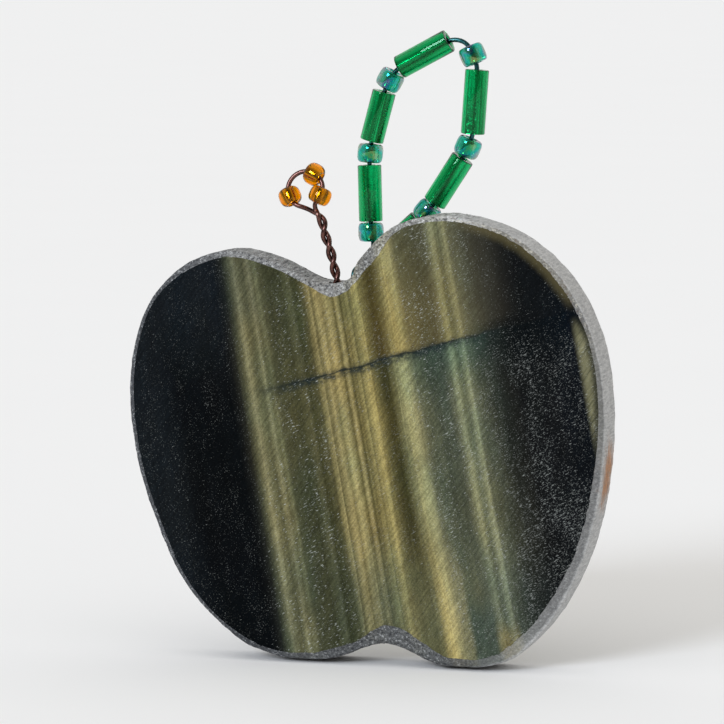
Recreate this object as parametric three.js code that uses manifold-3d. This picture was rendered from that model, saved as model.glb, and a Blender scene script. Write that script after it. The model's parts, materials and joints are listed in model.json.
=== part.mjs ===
// Apple-shaped slab of banded stone with a twisted wire stem, a ring of amber beads and a beaded wire leaf.
// Millimetres, +Z up. The polished face looks along -Y and the slab stands on the flats of its two lobes.
import * as THREE from "three";
import { mergeVertices } from "three/addons/utils/BufferGeometryUtils.js";
import Module from "manifold-3d";

const wasm = await Module();
wasm.setup();

// Stone slab
const slabWidth = 51.2;
const slabHeight = 47.2;
const stoneThickness = 6.0;
const bevelWidth = 1.0;
const bevelDepth = 0.6;
const backBevelWidth = 0.5;
const notchFloorX = slabWidth * -0.0605;
const notchFloorZ = slabHeight * 0.8475;
const footLevel = 0.0;
const outlineSteps = 150;

// Rim of the slab seen from the front, clockwise from the top notch, in shares of the slab's size:
// [x over the width, z over the height, front bevel over the bevel width]
const slabRim = [
  [notchFloorX / slabWidth, notchFloorZ / slabHeight, 1.4],
  [-0.0265, 0.8615, 0.8],
  [-0.0168, 0.8877, 1.2],
  [0.0055, 0.9195, 1.4],
  [0.064, 0.975, 0.65],
  [0.154, 1.0, 0.5],
  [0.25, 0.985, 0.35],
  [0.336, 0.943, 0.35],
  [0.42, 0.858, 0.45],
  [0.477, 0.739, 0.4],
  [0.5, 0.589, 0.5],
  [0.492, 0.409, 0.8],
  [0.455, 0.25, 0.95],
  [0.383, 0.106, 1.2],
  [0.297, 0.02, 1.3],
  [0.213, -0.003, 1.2],
  [0.148, 0.007, 1.6],
  [0.094, 0.038, 1.85],
  [0.051, 0.051, 2.1],
  [0.004, 0.041, 1.0],
  [-0.055, 0.01, 1.3],
  [-0.133, -0.003, 0.95],
  [-0.219, 0.019, 0.8],
  [-0.305, 0.078, 0.55],
  [-0.383, 0.169, 0.6],
  [-0.441, 0.297, 0.65],
  [-0.482, 0.432, 0.6],
  [-0.5, 0.593, 0.6],
  [-0.484, 0.722, 0.55],
  [-0.445, 0.8125, 0.45],
  [-0.3755, 0.8836, 0.7],
  [-0.283, 0.9135, 0.57],
  [-0.187, 0.89, 0.45],
  [-0.109, 0.851, 0.45],
];

// Drilled holes in the floor of the top notch
const holeDepth = 5.0;
const holeSides = 20;
const stemHoleX = notchFloorX - 0.15;
const stemHoleY = -0.9;
const leafHoleX = notchFloorX + 1.3;
const leafHoleY = 1.35;
const cementWall = 0.25;
const cementLength = 3.2;
const cementTopBelowNotch = 0.5;

// Clearances
const seatGap = 0.3;
const slipGap = 0.05;
const boreClearance = 0.55;
const beadGap = 0.15;

// Stem: one copper wire bent double, twisted, with a ring at its top
const stemWireDiameter = 0.5;
const strandGap = 0.1;
const twistPitch = 3.5;
const stemBends = [[-0.35, 1.6], [-0.75, 3.3], [-1.35, 5.0], [-1.75, 6.6], [-2.6, 7.4]];
const twistPointsPerTurn = 12;
const ringOffsetX = -0.85;
const ringOffsetZ = 0.3;
const ringTilt = 15;
const ringPoints = 26;
const ringStartAngle = 262;
const ringEndAngle = -52;
const amberDiameter = 2.35;
const amberLength = 1.75;
const amberRounding = 0.6;
const amberAngles = { stem_bead_left: 207, stem_bead_top: 62, stem_bead_right: -22 };

// Leaf: one coated wire bent to a loop and strung with short and long glass beads
const leafWireDiameter = 0.5;
const leafStrandGap = 0.1;
const seedDiameter = 2.7;
const seedLength = 1.95;
const seedRounding = 0.65;
const bugleDiameter = 2.5;
const bugleLength = 6.0;
const crownFullness = 0.28;
const crownSteps = 5;
const leftCrossing = [0.05, 1.3];
const rightCrossing = [0.4, 0.85];
// Each leg from its foot up: a bead's lean to the right in degrees, a bugle's cut as a share of the length
const leftLegFoot = [1.95, 3.8];
const rightLegFoot = [2.68, 2.05];
const seed = (name, lean) => ({ name, lean });
const bugle = (name, cut, lean) => ({ name, length: cut * bugleLength, lean });
const leftLeg = [
  seed("leaf_seed_1", -1),
  bugle("leaf_bugle_1", 0.985, -1.5),
  seed("leaf_seed_2", 5),
  bugle("leaf_bugle_2", 0.89, 15),
  seed("leaf_seed_3", 30),
  bugle("leaf_bugle_3", 1.0, 62),
];
const rightLeg = [
  bugle("leaf_bugle_6", 1.0, 48),
  seed("leaf_seed_6", 40),
  bugle("leaf_bugle_5", 0.935, 33),
  seed("leaf_seed_5", 24),
  bugle("leaf_bugle_4", 1.115, 4),
  seed("leaf_seed_4", -24),
];

// Facets
const wireSides = 8;
const beadSides = 20;
const roundingSteps = 3;
const stemStep = stemWireDiameter * 0.75;
const leafStep = leafWireDiameter * 1.4;

const stemWireRadius = stemWireDiameter / 2;
const leafWireRadius = leafWireDiameter / 2;
const stemStrandOffset = (stemWireDiameter + strandGap) / 2;
const leafStrandOffset = (leafWireDiameter + leafStrandGap) / 2;
const holeBottomZ = notchFloorZ - holeDepth;
const leafDepth = stoneThickness / 2 + Math.max(seedDiameter, bugleDiameter) / 2 + seatGap;
const stemHole = cementedHole(stemHoleX, stemHoleY, stemStrandOffset + stemWireRadius);
const leafHole = cementedHole(leafHoleX, leafHoleY, leafStrandOffset + leafWireRadius);

// A hole wide enough for a pair of wires of this half width and the cement round them.
function cementedHole(x, y, pairRadius) {
  const cementInner = pairRadius + slipGap;
  const cementOuter = cementInner + cementWall;
  return { x, y, cementInner, cementOuter, radius: cementOuter + slipGap };
}

// Closed solids for the joins and cuts.
function toSolid(geometry) {
  const bare = geometry.clone();
  bare.deleteAttribute("normal");
  bare.deleteAttribute("uv");
  const merged = mergeVertices(bare);
  const vertProperties = new Float32Array(merged.attributes.position.array);
  const triVerts = new Uint32Array(merged.index.array);
  return new wasm.Manifold(new wasm.Mesh({ numProp: 3, vertProperties, triVerts }));
}

function toGeometry(solid) {
  const mesh = solid.getMesh();
  const geometry = new THREE.BufferGeometry();
  geometry.setAttribute("position", new THREE.BufferAttribute(new Float32Array(mesh.vertProperties), 3));
  geometry.setIndex(new THREE.BufferAttribute(new Uint32Array(mesh.triVerts), 1));
  geometry.computeVertexNormals();
  return geometry;
}

// The slab is lofted through four rings: polished face, front rim, back rim and back face.
function slabRings() {
  const corners = slabRim.map(([x, z, bevel]) =>
    new THREE.Vector3(x * slabWidth, z * slabHeight, bevel * bevelWidth));
  const curve = new THREE.CatmullRomCurve3(corners, true, "centripetal");
  const samples = curve.getSpacedPoints(outlineSteps).slice(0, outlineSteps);
  const half = stoneThickness / 2;
  const rings = { face: [], frontRim: [], backRim: [], back: [] };
  samples.forEach((sample, index) => {
    const before = samples.at(index - 1);
    const after = samples[(index + 1) % outlineSteps];
    const along = new THREE.Vector2(after.x - before.x, after.y - before.y).normalize();
    const inward = new THREE.Vector2(along.y, -along.x);
    const rimZ = Math.max(sample.y, footLevel);
    const inset = (width, y) => new THREE.Vector3(sample.x + inward.x * width, y, rimZ + inward.y * width);
    rings.face.push(inset(sample.z, -half));
    rings.frontRim.push(inset(0, -half + bevelDepth));
    rings.backRim.push(inset(0, half - bevelDepth));
    rings.back.push(inset(backBevelWidth, half));
  });
  return [rings.face, rings.frontRim, rings.backRim, rings.back];
}

function slabGeometry() {
  const rings = slabRings();
  const positions = rings.flat().flatMap((point) => point.toArray());
  const indices = [];
  for (let ring = 0; ring < rings.length - 1; ring += 1) {
    for (let step = 0; step < outlineSteps; step += 1) {
      const next = (step + 1) % outlineSteps;
      const a = ring * outlineSteps + step;
      const b = ring * outlineSteps + next;
      const c = a + outlineSteps;
      const d = b + outlineSteps;
      indices.push(a, b, c, b, d, c);
    }
  }
  const lastRing = (rings.length - 1) * outlineSteps;
  const outline = (ring) => ring.map((point) => new THREE.Vector2(point.x, point.z));
  for (const [a, b, c] of THREE.ShapeUtils.triangulateShape(outline(rings[0]), [])) {
    indices.push(a, b, c);
  }
  for (const [a, b, c] of THREE.ShapeUtils.triangulateShape(outline(rings.at(-1)), [])) {
    indices.push(lastRing + a, lastRing + c, lastRing + b);
  }
  const geometry = new THREE.BufferGeometry();
  geometry.setAttribute("position", new THREE.Float32BufferAttribute(positions, 3));
  geometry.setIndex(indices);
  return geometry;
}

function drill({ x, y, radius }) {
  const drillLength = holeDepth * 2;
  const cylinder = new THREE.CylinderGeometry(radius, radius, drillLength, holeSides);
  cylinder.rotateX(Math.PI / 2);
  cylinder.translate(x, y, holeBottomZ + drillLength / 2);
  return toSolid(cylinder);
}

function stoneGeometry() {
  return toGeometry(toSolid(slabGeometry()).subtract(drill(stemHole)).subtract(drill(leafHole)));
}

// A sleeve of cured cement between the wires and the wall of their hole.
function cementGeometry({ cementInner, cementOuter }) {
  const profile = [
    new THREE.Vector2(cementInner, 0),
    new THREE.Vector2(cementOuter, 0),
    new THREE.Vector2(cementOuter, cementLength),
    new THREE.Vector2(cementInner, cementLength),
    new THREE.Vector2(cementInner, 0),
  ];
  return new THREE.LatheGeometry(profile, holeSides).rotateX(Math.PI / 2);
}

// A round wire along a smooth curve through the given points.
function wireGeometry(points, radius, stepLength) {
  const path = new THREE.CatmullRomCurve3(points, false, "centripetal");
  path.arcLengthDivisions = points.length * 20;
  const section = new THREE.Shape().absarc(0, 0, radius, 0, Math.PI * 2);
  const steps = Math.ceil(path.getLength() / stepLength);
  return new THREE.ExtrudeGeometry(section, { steps, extrudePath: path, curveSegments: wireSides / 2 });
}

// Stem: the middle line climbs from the hole and leans to the ring, and the two strands wind round it.
function stemMiddle() {
  const { x, y } = stemHole;
  const points = [new THREE.Vector3(x, y, holeBottomZ + seatGap), new THREE.Vector3(x, y, notchFloorZ)];
  for (const [dx, dz] of stemBends) {
    points.push(new THREE.Vector3(x + dx, y, notchFloorZ + dz));
  }
  return new THREE.CatmullRomCurve3(points, false, "centripetal");
}

function twistedStrand(middle, side) {
  const length = middle.getLength();
  const turns = length / twistPitch;
  const count = Math.ceil(turns * twistPointsPerTurn);
  return Array.from({ length: count + 1 }, (_, index) => {
    const share = index / count;
    const angle = (share - 1) * turns * Math.PI * 2;
    const point = middle.getPointAt(share);
    point.x += side * stemStrandOffset * Math.cos(angle);
    point.y += side * stemStrandOffset * Math.sin(angle);
    return point;
  });
}

// The ring is as small as its beads allow where the closest two sit side by side.
function ringRadius() {
  const angles = Object.values(amberAngles);
  const closest = THREE.MathUtils.degToRad(Math.min(
    ...angles.flatMap((a, i) => angles.slice(i + 1).map((b) => 180 - Math.abs(180 - Math.abs(a - b))))
  ));
  const reach = amberRounding + beadGap / 2 + (amberLength / 2 - amberRounding) * Math.cos(closest / 2);
  return amberDiameter / 2 - amberRounding + reach / Math.sin(closest / 2);
}

function makeRing(middle) {
  const neck = middle.getPointAt(1);
  const radius = ringRadius();
  const tilt = new THREE.Quaternion().setFromAxisAngle(
    new THREE.Vector3(1, 0, 0), -THREE.MathUtils.degToRad(ringTilt));
  const centre = neck.clone().add(new THREE.Vector3(ringOffsetX, 0, radius + ringOffsetZ));
  const outward = (degrees) => {
    const angle = THREE.MathUtils.degToRad(degrees);
    return new THREE.Vector3(Math.cos(angle), 0, Math.sin(angle)).applyQuaternion(tilt);
  };
  const pointAt = (degrees) => outward(degrees).multiplyScalar(radius).add(centre);
  return { centre, radius, outward, pointAt };
}

function stemWirePoints(middle, ring) {
  const up = twistedStrand(middle, -1);
  const down = twistedStrand(middle, 1).reverse();
  const round = Array.from({ length: ringPoints + 1 }, (_, index) =>
    ring.pointAt(THREE.MathUtils.lerp(ringStartAngle, ringEndAngle, index / ringPoints)));
  return [...up, ...round, ...down];
}

// Beads: a short seed bead is turned, a long bugle bead is a cut tube with a square bore.
function seedGeometry(diameter, length, rounding, bore) {
  const profile = [];
  const corner = (radius, height, from) => {
    for (let step = 0; step <= roundingSteps; step += 1) {
      const angle = from + (Math.PI / 2) * (step / roundingSteps);
      const outward = new THREE.Vector2(Math.cos(angle), Math.sin(angle)).multiplyScalar(rounding);
      profile.push(new THREE.Vector2(radius, height).add(outward));
    }
  };
  profile.push(new THREE.Vector2(bore / 2, -length / 2));
  corner(diameter / 2 - rounding, -length / 2 + rounding, -Math.PI / 2);
  corner(diameter / 2 - rounding, length / 2 - rounding, 0);
  profile.push(new THREE.Vector2(bore / 2, length / 2), profile[0].clone());
  return new THREE.LatheGeometry(profile, beadSides).rotateX(Math.PI / 2);
}

function bugleGeometry(length) {
  const section = new THREE.Shape().absarc(0, 0, bugleDiameter / 2, 0, Math.PI * 2);
  const half = (leafWireDiameter + boreClearance) / 2;
  const bore = new THREE.Path([
    new THREE.Vector2(half, half),
    new THREE.Vector2(half, -half),
    new THREE.Vector2(-half, -half),
    new THREE.Vector2(-half, half),
  ]);
  section.holes.push(bore);
  const settings = { depth: length, steps: 1, bevelEnabled: false, curveSegments: beadSides / 2 };
  return new THREE.ExtrudeGeometry(section, settings).translate(0, 0, -length / 2);
}

// Leaf: each leg is a chain of beads that lean in turn, and the wire bends between them.
function directionOf(lean) {
  const angle = THREE.MathUtils.degToRad(lean);
  return new THREE.Vector3(Math.sin(angle), 0, Math.cos(angle));
}

// How far a bead's middle stays from the bend, so that its neighbour on a turned axis clears it.
function bendDistance(bead, bendDegrees) {
  const half = THREE.MathUtils.degToRad(Math.abs(bendDegrees)) / 2;
  const long = bead.length !== undefined;
  const length = long ? bead.length : seedLength;
  const radius = (long ? bugleDiameter : seedDiameter) / 2;
  const rounding = long ? 0 : seedRounding;
  const reach = (length / 2 - rounding) * Math.cos(half) + (radius - rounding) * Math.sin(half) + rounding;
  return (reach + beadGap / 2) / Math.cos(half);
}

function strungLeg(foot, beads) {
  const [dx, dz] = foot;
  const bend = new THREE.Vector3(notchFloorX + dx, leafDepth, notchFloorZ + dz);
  return beads.map((bead, index) => {
    const axis = directionOf(bead.lean);
    const bendBefore = index > 0 ? bead.lean - beads[index - 1].lean : 0;
    const bendAfter = index < beads.length - 1 ? beads[index + 1].lean - bead.lean : 0;
    const centre = bend.clone().addScaledVector(axis, bendDistance(bead, bendBefore));
    bend.copy(centre).addScaledVector(axis, bendDistance(bead, bendAfter));
    return { ...bead, axis, centre };
  });
}

// The wire runs straight through each bead.
function pointsThrough(legBeads) {
  const shares = [-0.5, -0.2, 0.2, 0.5];
  return legBeads.flatMap(({ axis, centre, length = seedLength }) =>
    shares.map((share) => centre.clone().addScaledVector(axis, share * length)));
}

// Between the top beads of the two legs the wire is bare and bends over in one arch.
function crownPoints(leftTop, rightTop) {
  const start = leftTop.centre.clone().addScaledVector(leftTop.axis, leftTop.length / 2);
  const end = rightTop.centre.clone().addScaledVector(rightTop.axis, seedLength / 2);
  const handle = start.distanceTo(end) * crownFullness;
  const afterStart = start.clone().addScaledVector(leftTop.axis, handle);
  const beforeEnd = end.clone().addScaledVector(rightTop.axis, handle);
  const arch = new THREE.CubicBezierCurve3(start, afterStart, beforeEnd, end);
  return arch.getPoints(crownSteps).slice(1, -1);
}

// From the hole the wire climbs, bends back over the notch floor and comes up behind the slab.
function leafRoot(side, crossing) {
  const x = leafHole.x + side * leafStrandOffset;
  const [dx, dz] = crossing;
  const lift = leafWireRadius + seatGap;
  const edgeZ = notchFloorZ + dz + lift;
  return [
    new THREE.Vector3(x, leafHole.y, holeBottomZ + seatGap),
    new THREE.Vector3(x, leafHole.y, (holeBottomZ + notchFloorZ) / 2),
    new THREE.Vector3(x, leafHole.y, (notchFloorZ + edgeZ) / 2),
    new THREE.Vector3(leafHole.x + dx, stoneThickness / 2, edgeZ),
  ];
}

function leafWirePoints(leftBeads, rightBeads) {
  const crown = crownPoints(leftBeads.at(-1), rightBeads.at(-1));
  const leftSide = [...leafRoot(-1, leftCrossing), ...pointsThrough(leftBeads)];
  const rightSide = [...leafRoot(1, rightCrossing), ...pointsThrough(rightBeads)];
  return [...leftSide, ...crown, ...rightSide.reverse()];
}

// Finishes
function finish(color, roughness, metalness) {
  return () => new THREE.MeshStandardMaterial({ color, roughness, metalness });
}
const bandedStone = finish(0x4a4630, 0.35, 0);
const darkCopper = finish(0x5a2f26, 0.35, 1);
const tealWire = finish(0x0e4a44, 0.3, 1);
const clearCement = finish(0xcfc8b4, 0.4, 0);
const amberGlass = finish(0xd98a10, 0.1, 0);
const greenGlass = finish(0x0b7a3c, 0.1, 0);
const rainbowGlass = finish(0x1d8f7a, 0.08, 0);

// Assembly
const ornament = new THREE.Group();

function addPiece(name, geometry, material) {
  const piece = new THREE.Mesh(geometry, material());
  piece.name = name;
  ornament.add(piece);
  return piece;
}

function addBead(name, geometry, material, centre, axis) {
  const piece = addPiece(name, geometry, material);
  piece.position.copy(centre);
  piece.quaternion.setFromUnitVectors(new THREE.Vector3(0, 0, 1), axis);
}

function addCement(name, hole) {
  const piece = addPiece(name, cementGeometry(hole), clearCement);
  piece.position.set(hole.x, hole.y, notchFloorZ - cementTopBelowNotch - cementLength);
}

addPiece("apple_slab", stoneGeometry(), bandedStone);
addCement("stem_cement", stemHole);
addCement("leaf_cement", leafHole);

const stemLine = stemMiddle();
const ring = makeRing(stemLine);
const stemLoop = stemWirePoints(stemLine, ring);
addPiece("stem_wire", wireGeometry(stemLoop, stemWireRadius, stemStep), darkCopper);
const amberBore = stemWireDiameter + boreClearance;
for (const [name, angle] of Object.entries(amberAngles)) {
  const axis = ring.outward(angle + 90);
  const arcRise = ring.radius - Math.sqrt(ring.radius ** 2 - (amberLength / 2) ** 2);
  const centre = ring.pointAt(angle).addScaledVector(ring.outward(angle), -arcRise / 2);
  addBead(name, seedGeometry(amberDiameter, amberLength, amberRounding, amberBore), amberGlass, centre, axis);
}

const leftBeads = strungLeg(leftLegFoot, leftLeg);
const rightBeads = strungLeg(rightLegFoot, rightLeg);
const leafLoop = leafWirePoints(leftBeads, rightBeads);
addPiece("leaf_wire", wireGeometry(leafLoop, leafWireRadius, leafStep), tealWire);
const seedBore = leafWireDiameter + boreClearance;
for (const { name, length, axis, centre } of [...leftBeads, ...rightBeads]) {
  if (length === undefined) {
    addBead(name, seedGeometry(seedDiameter, seedLength, seedRounding, seedBore), rainbowGlass, centre, axis);
  } else {
    addBead(name, bugleGeometry(length), greenGlass, centre, axis);
  }
}

// The ornament stands on its origin, with its box centred over it.
const box = new THREE.Box3().setFromObject(ornament, true);
const middle = box.getCenter(new THREE.Vector3());
ornament.position.set(-middle.x, -middle.y, -box.min.z);
ornament.updateMatrixWorld(true);

export default ornament;
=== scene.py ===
"""Dresses the apple ornament: a banded stone slab with a twisted wire stem and a beaded wire leaf."""

import functools
import json
import logging
import math
from collections.abc import Iterable, Iterator, Sequence
from contextlib import contextmanager
from dataclasses import dataclass, field
from enum import Enum

import bpy
import numpy as np
from mathutils import Matrix, Vector, noise


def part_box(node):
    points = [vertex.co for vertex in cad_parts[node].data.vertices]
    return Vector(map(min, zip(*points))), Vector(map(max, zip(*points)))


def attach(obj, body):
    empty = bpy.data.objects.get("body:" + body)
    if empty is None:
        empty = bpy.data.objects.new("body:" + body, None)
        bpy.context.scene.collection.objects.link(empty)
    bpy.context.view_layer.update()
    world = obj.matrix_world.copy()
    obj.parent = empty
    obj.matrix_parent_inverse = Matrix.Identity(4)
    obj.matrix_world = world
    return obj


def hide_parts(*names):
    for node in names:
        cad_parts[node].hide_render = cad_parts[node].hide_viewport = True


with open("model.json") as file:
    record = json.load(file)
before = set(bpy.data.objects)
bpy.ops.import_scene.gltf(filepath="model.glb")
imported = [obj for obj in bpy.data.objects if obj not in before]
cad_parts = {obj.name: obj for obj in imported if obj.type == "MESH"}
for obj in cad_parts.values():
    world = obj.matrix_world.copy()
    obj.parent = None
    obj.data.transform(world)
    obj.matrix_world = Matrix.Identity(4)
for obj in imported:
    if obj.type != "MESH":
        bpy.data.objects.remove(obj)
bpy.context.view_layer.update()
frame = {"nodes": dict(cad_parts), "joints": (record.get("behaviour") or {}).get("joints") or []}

MM = 0.001
BODY = "apple"
# Share of a face's normal that counts as facing an end.
FACING = 0.9
# Millimetres from an axis that count as on it.
CENTRED = 0.02
# Power at which a rounded square is a circle.
ROUND = 2.0
log = logging.getLogger("apple_ornament")

Piece = bpy.types.Object
Mesh = bpy.types.Mesh
Material = bpy.types.Material
Node = bpy.types.Node
Tree = bpy.types.NodeTree
Socket = bpy.types.NodeSocket
Feed = Socket | float | Sequence[float]
Seen = tuple[int, int, int]
Tint = tuple[float, float, float]
Colour = tuple[float, float, float, float]
Edge = tuple[float, float]
Fade = tuple[str | float, ...]


def srgb(red: float, green: float, blue: float) -> Colour:
    """Turns a colour as it looks on a screen into the linear colour that a shader takes.

    Args:
        red: Red from 0 to 255.
        green: Green from 0 to 255.
        blue: Blue from 0 to 255.

    Returns:
        The linear colour, fully opaque.
    """
    shares = (value / 255.0 for value in (red, green, blue))
    parts = [share / 12.92 if share <= 0.04045 else ((share + 0.055) / 1.055) ** 2.4 for share in shares]
    return (*parts, 1.0)


class Graph:
    """Adds and joins the nodes of one material or node group."""

    def __init__(self, tree: Tree) -> None:
        """Keeps the tree that the nodes go into."""
        self.tree = tree

    def feed(self, socket: Socket, source: Feed) -> None:
        """Links a socket to a source, or sets it where the source is a plain value.

        Args:
            socket: The socket.
            source: What it gets.
        """
        if isinstance(source, Socket):
            self.tree.links.new(source, socket)
        else:
            socket.default_value = source

    def node(self, kind: str, *sources: Feed, **settings: object) -> Node:
        """Adds a node.

        Args:
            kind: Blender's type name of the node.
            sources: What its first inputs get, in order.
            settings: Properties to set on it.

        Returns:
            The new node.
        """
        made = self.tree.nodes.new(kind)
        for key, value in settings.items():
            setattr(made, key, value)
        for socket, source in zip(made.inputs, sources):
            self.feed(socket, source)
        return made

    def fill(self, made: Node, sources: dict[str, Feed]) -> Node:
        """Feeds a node's inputs by name.

        Args:
            made: The node.
            sources: What each input gets.

        Returns:
            The same node.
        """
        for name, source in sources.items():
            self.feed(made.inputs[name], source)
        return made

    def math(self, operation: str, *values: Feed) -> Socket:
        """Does one sum, by Blender's name for it."""
        return self.node("ShaderNodeMath", *values, operation=operation).outputs[0]

    def chain(self, operation: str, values: Sequence[Feed]) -> Socket:
        """Runs a sum of two along a row of numbers."""
        return functools.reduce(lambda so_far, value: self.math(operation, so_far, value), values)

    def product(self, *values: Feed) -> Socket:
        """Multiplies numbers."""
        return self.chain("MULTIPLY", values)

    def total(self, *values: Feed) -> Socket:
        """Adds numbers."""
        return self.chain("ADD", values)

    def most(self, *values: Feed) -> Socket:
        """Takes the largest of some numbers."""
        return self.chain("MAXIMUM", values)

    def less(self, first: Feed, second: Feed) -> Socket:
        """Takes the second number from the first."""
        return self.math("SUBTRACT", first, second)

    def fade(self, value: Feed, low: float, high: float, start: float = 0.0, end: float = 1.0) -> Socket:
        """Runs smoothly from one number to another while a value crosses a range.

        Args:
            value: The value that crosses the range.
            low: Where the change begins.
            high: Where the change ends.
            start: Result before the range.
            end: Result after the range.

        Returns:
            The faded number.
        """
        settings = {"interpolation_type": "SMOOTHSTEP", "clamp": True}
        return self.node("ShaderNodeMapRange", value, low, high, start, end, **settings).outputs[0]

    def window(self, value: Feed, *edges: Edge) -> Socket:
        """Multiplies several fades of one value, such as one that rises and one that falls."""
        return self.product(*(self.fade(value, *edge) for edge in edges))

    def distance(self, value: Feed, middle: float) -> Socket:
        """Gives how far a value lies from another, to either side."""
        return self.math("ABSOLUTE", self.less(value, middle))

    def split(self, vector: Feed) -> tuple[Socket, Socket, Socket]:
        """Gives the three numbers of a vector."""
        return tuple(self.node("ShaderNodeSeparateXYZ", vector).outputs)

    def join(self, first: Feed, second: Feed, third: Feed) -> Socket:
        """Makes a vector of three numbers."""
        return self.node("ShaderNodeCombineXYZ", first, second, third).outputs[0]

    def stretch(self, vector: Feed, along: Tint) -> Socket:
        """Multiplies a vector by three numbers."""
        return self.node("ShaderNodeVectorMath", vector, along, operation="MULTIPLY").outputs[0]

    def clouds(self, vector: Feed, scale: float, detail: float = 2.0, rough: float = 0.5) -> Socket:
        """Gives soft noise from 0 to 1.

        Args:
            vector: Place that the noise is read at.
            scale: Features to a unit of place.
            detail: Octaves of finer noise.
            rough: How much the finer noise counts.

        Returns:
            The noise.
        """
        sources = {"Vector": vector, "Scale": scale, "Detail": detail, "Roughness": rough}
        return self.fill(self.node("ShaderNodeTexNoise"), sources).outputs[0]

    def ramp(self, value: Feed, stops: Sequence[tuple[float, Colour]]) -> Socket:
        """Looks a colour up along a row of stops.

        Args:
            value: Place along the row, from 0 to 1.
            stops: Places and colours in order, at most 32.

        Returns:
            The colour.
        """
        made = self.node("ShaderNodeValToRGB", value)
        elements = made.color_ramp.elements
        while len(elements) < len(stops):
            elements.new(1.0)
        for element, (place, colour) in zip(elements, stops):
            element.position = place
            element.color = colour
        return made.outputs[0]

    def blend(self, share: Feed, first: Feed, second: Feed, how: str = "MIX") -> Socket:
        """Mixes two colours.

        Args:
            share: How much of the second colour is taken.
            first: First colour.
            second: Second colour.
            how: Blender's name of the way to mix.

        Returns:
            The mixed colour.
        """
        made = self.node("ShaderNodeMix", share, data_type="RGBA", blend_type=how)
        self.feed(made.inputs[6], first)
        self.feed(made.inputs[7], second)
        return made.outputs[2]

    def bump(self, height: Feed, depth: float) -> Socket:
        """Turns a height from 0 to 1 into a normal, for a relief of a depth in millimetres."""
        sources = {"Strength": 1.0, "Distance": depth * MM, "Height": height}
        return self.fill(self.node("ShaderNodeBump"), sources).outputs[0]

    def place(self) -> Socket:
        """Gives the place on the piece in millimetres.

        Returns:
            The place.
        """
        source = self.node("ShaderNodeTexCoord").outputs["Object"]
        made = self.node("ShaderNodeVectorMath", source, operation="SCALE")
        return self.fill(made, {"Scale": 1.0 / MM}).outputs[0]

    def own_place(self) -> Socket:
        """Gives the place on a bead as it was before the bead was threaded, in millimetres."""
        return self.node("ShaderNodeAttribute", attribute_name="own_place").outputs["Vector"]

    def group(self, tree: Tree, **sources: Feed) -> Node:
        """Places a node group and feeds its inputs by name."""
        return self.fill(self.node("ShaderNodeGroup", node_tree=tree), sources)


class Paint:
    """A colour that is built up in layers."""

    def __init__(self, graph: Graph, colour: Feed) -> None:
        """Starts with one colour."""
        self.graph = graph
        self.colour = colour

    def layer(self, share: Feed, colour: Feed, how: str = "MIX") -> None:
        """Lays a share of another colour over it, by Blender's name of the way to mix."""
        self.colour = self.graph.blend(share, self.colour, colour, how)

    def tint(self, share: Feed, tint: Tint) -> None:
        """Multiplies it by a tint where the share says so."""
        self.layer(share, (*tint, 1.0), "MULTIPLY")

    def shade(self, amount: Socket) -> None:
        """Makes it lighter or darker everywhere."""
        self.layer(1.0, self.graph.join(amount, amount, amount), "MULTIPLY")


def new_material(name: str) -> tuple[Material, Graph, Node]:
    """Starts a material with one shader and nothing else.

    Args:
        name: The material's name.

    Returns:
        The material, its graph and its shader.
    """
    material = bpy.data.materials.new(name)
    material.use_nodes = True
    material.node_tree.nodes.clear()
    graph = Graph(material.node_tree)
    shader = graph.node("ShaderNodeBsdfPrincipled")
    graph.node("ShaderNodeOutputMaterial", shader.outputs[0])
    return material, graph, shader


def deselect_all() -> None:
    """Leaves edit mode with nothing selected."""
    if bpy.context.mode != "OBJECT":
        bpy.ops.object.mode_set(mode="OBJECT")
    bpy.ops.object.select_all(action="DESELECT")


def take(piece: Piece) -> None:
    """Selects one piece alone and makes it the active one.

    Args:
        piece: The piece.
    """
    deselect_all()
    piece.select_set(True)
    bpy.context.view_layer.objects.active = piece


@contextmanager
def editing(piece: Piece, faces: np.ndarray | None = None) -> Iterator[None]:
    """Edits a piece with some of its faces selected.

    Args:
        piece: The piece.
        faces: True for each face to select, or nothing to select all of it.

    Yields:
        Nothing, while the piece is in edit mode.
    """
    take(piece)
    bpy.ops.object.mode_set(mode="EDIT")
    bpy.ops.mesh.select_mode(type="FACE")
    bpy.ops.mesh.select_all(action="SELECT")
    if faces is not None:
        bpy.ops.mesh.select_all(action="DESELECT")
        bpy.ops.object.mode_set(mode="OBJECT")
        piece.data.polygons.foreach_set("select", faces.astype(bool))
        bpy.ops.object.mode_set(mode="EDIT")
    yield
    bpy.ops.object.mode_set(mode="OBJECT")


def fresh(name: str) -> Piece:
    """Names the primitive that was just added.

    Args:
        name: Its name.

    Returns:
        The piece.
    """
    piece = bpy.context.active_object
    piece.name = name
    piece.data.name = name
    return piece


def triples(items: bpy.types.bpy_prop_collection, name: str) -> np.ndarray:
    """Reads three numbers from each vertex or face of a mesh.

    Args:
        items: The vertices or faces.
        name: The property to read.

    Returns:
        The numbers, one item to a row.
    """
    flat = np.empty(len(items) * 3)
    items.foreach_get(name, flat)
    return flat.reshape(-1, 3)


def points_of(mesh: Mesh) -> np.ndarray:
    """Gives a mesh's vertices in millimetres, one to a row."""
    return triples(mesh.vertices, "co") / MM


def set_points(mesh: Mesh, points: np.ndarray) -> None:
    """Moves a mesh's vertices to places in millimetres."""
    mesh.vertices.foreach_set("co", (points * MM).ravel())
    mesh.update()


def face_middles(mesh: Mesh) -> np.ndarray:
    """Gives the middle of each face of a mesh in millimetres, one to a row."""
    return triples(mesh.polygons, "center") / MM


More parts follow.
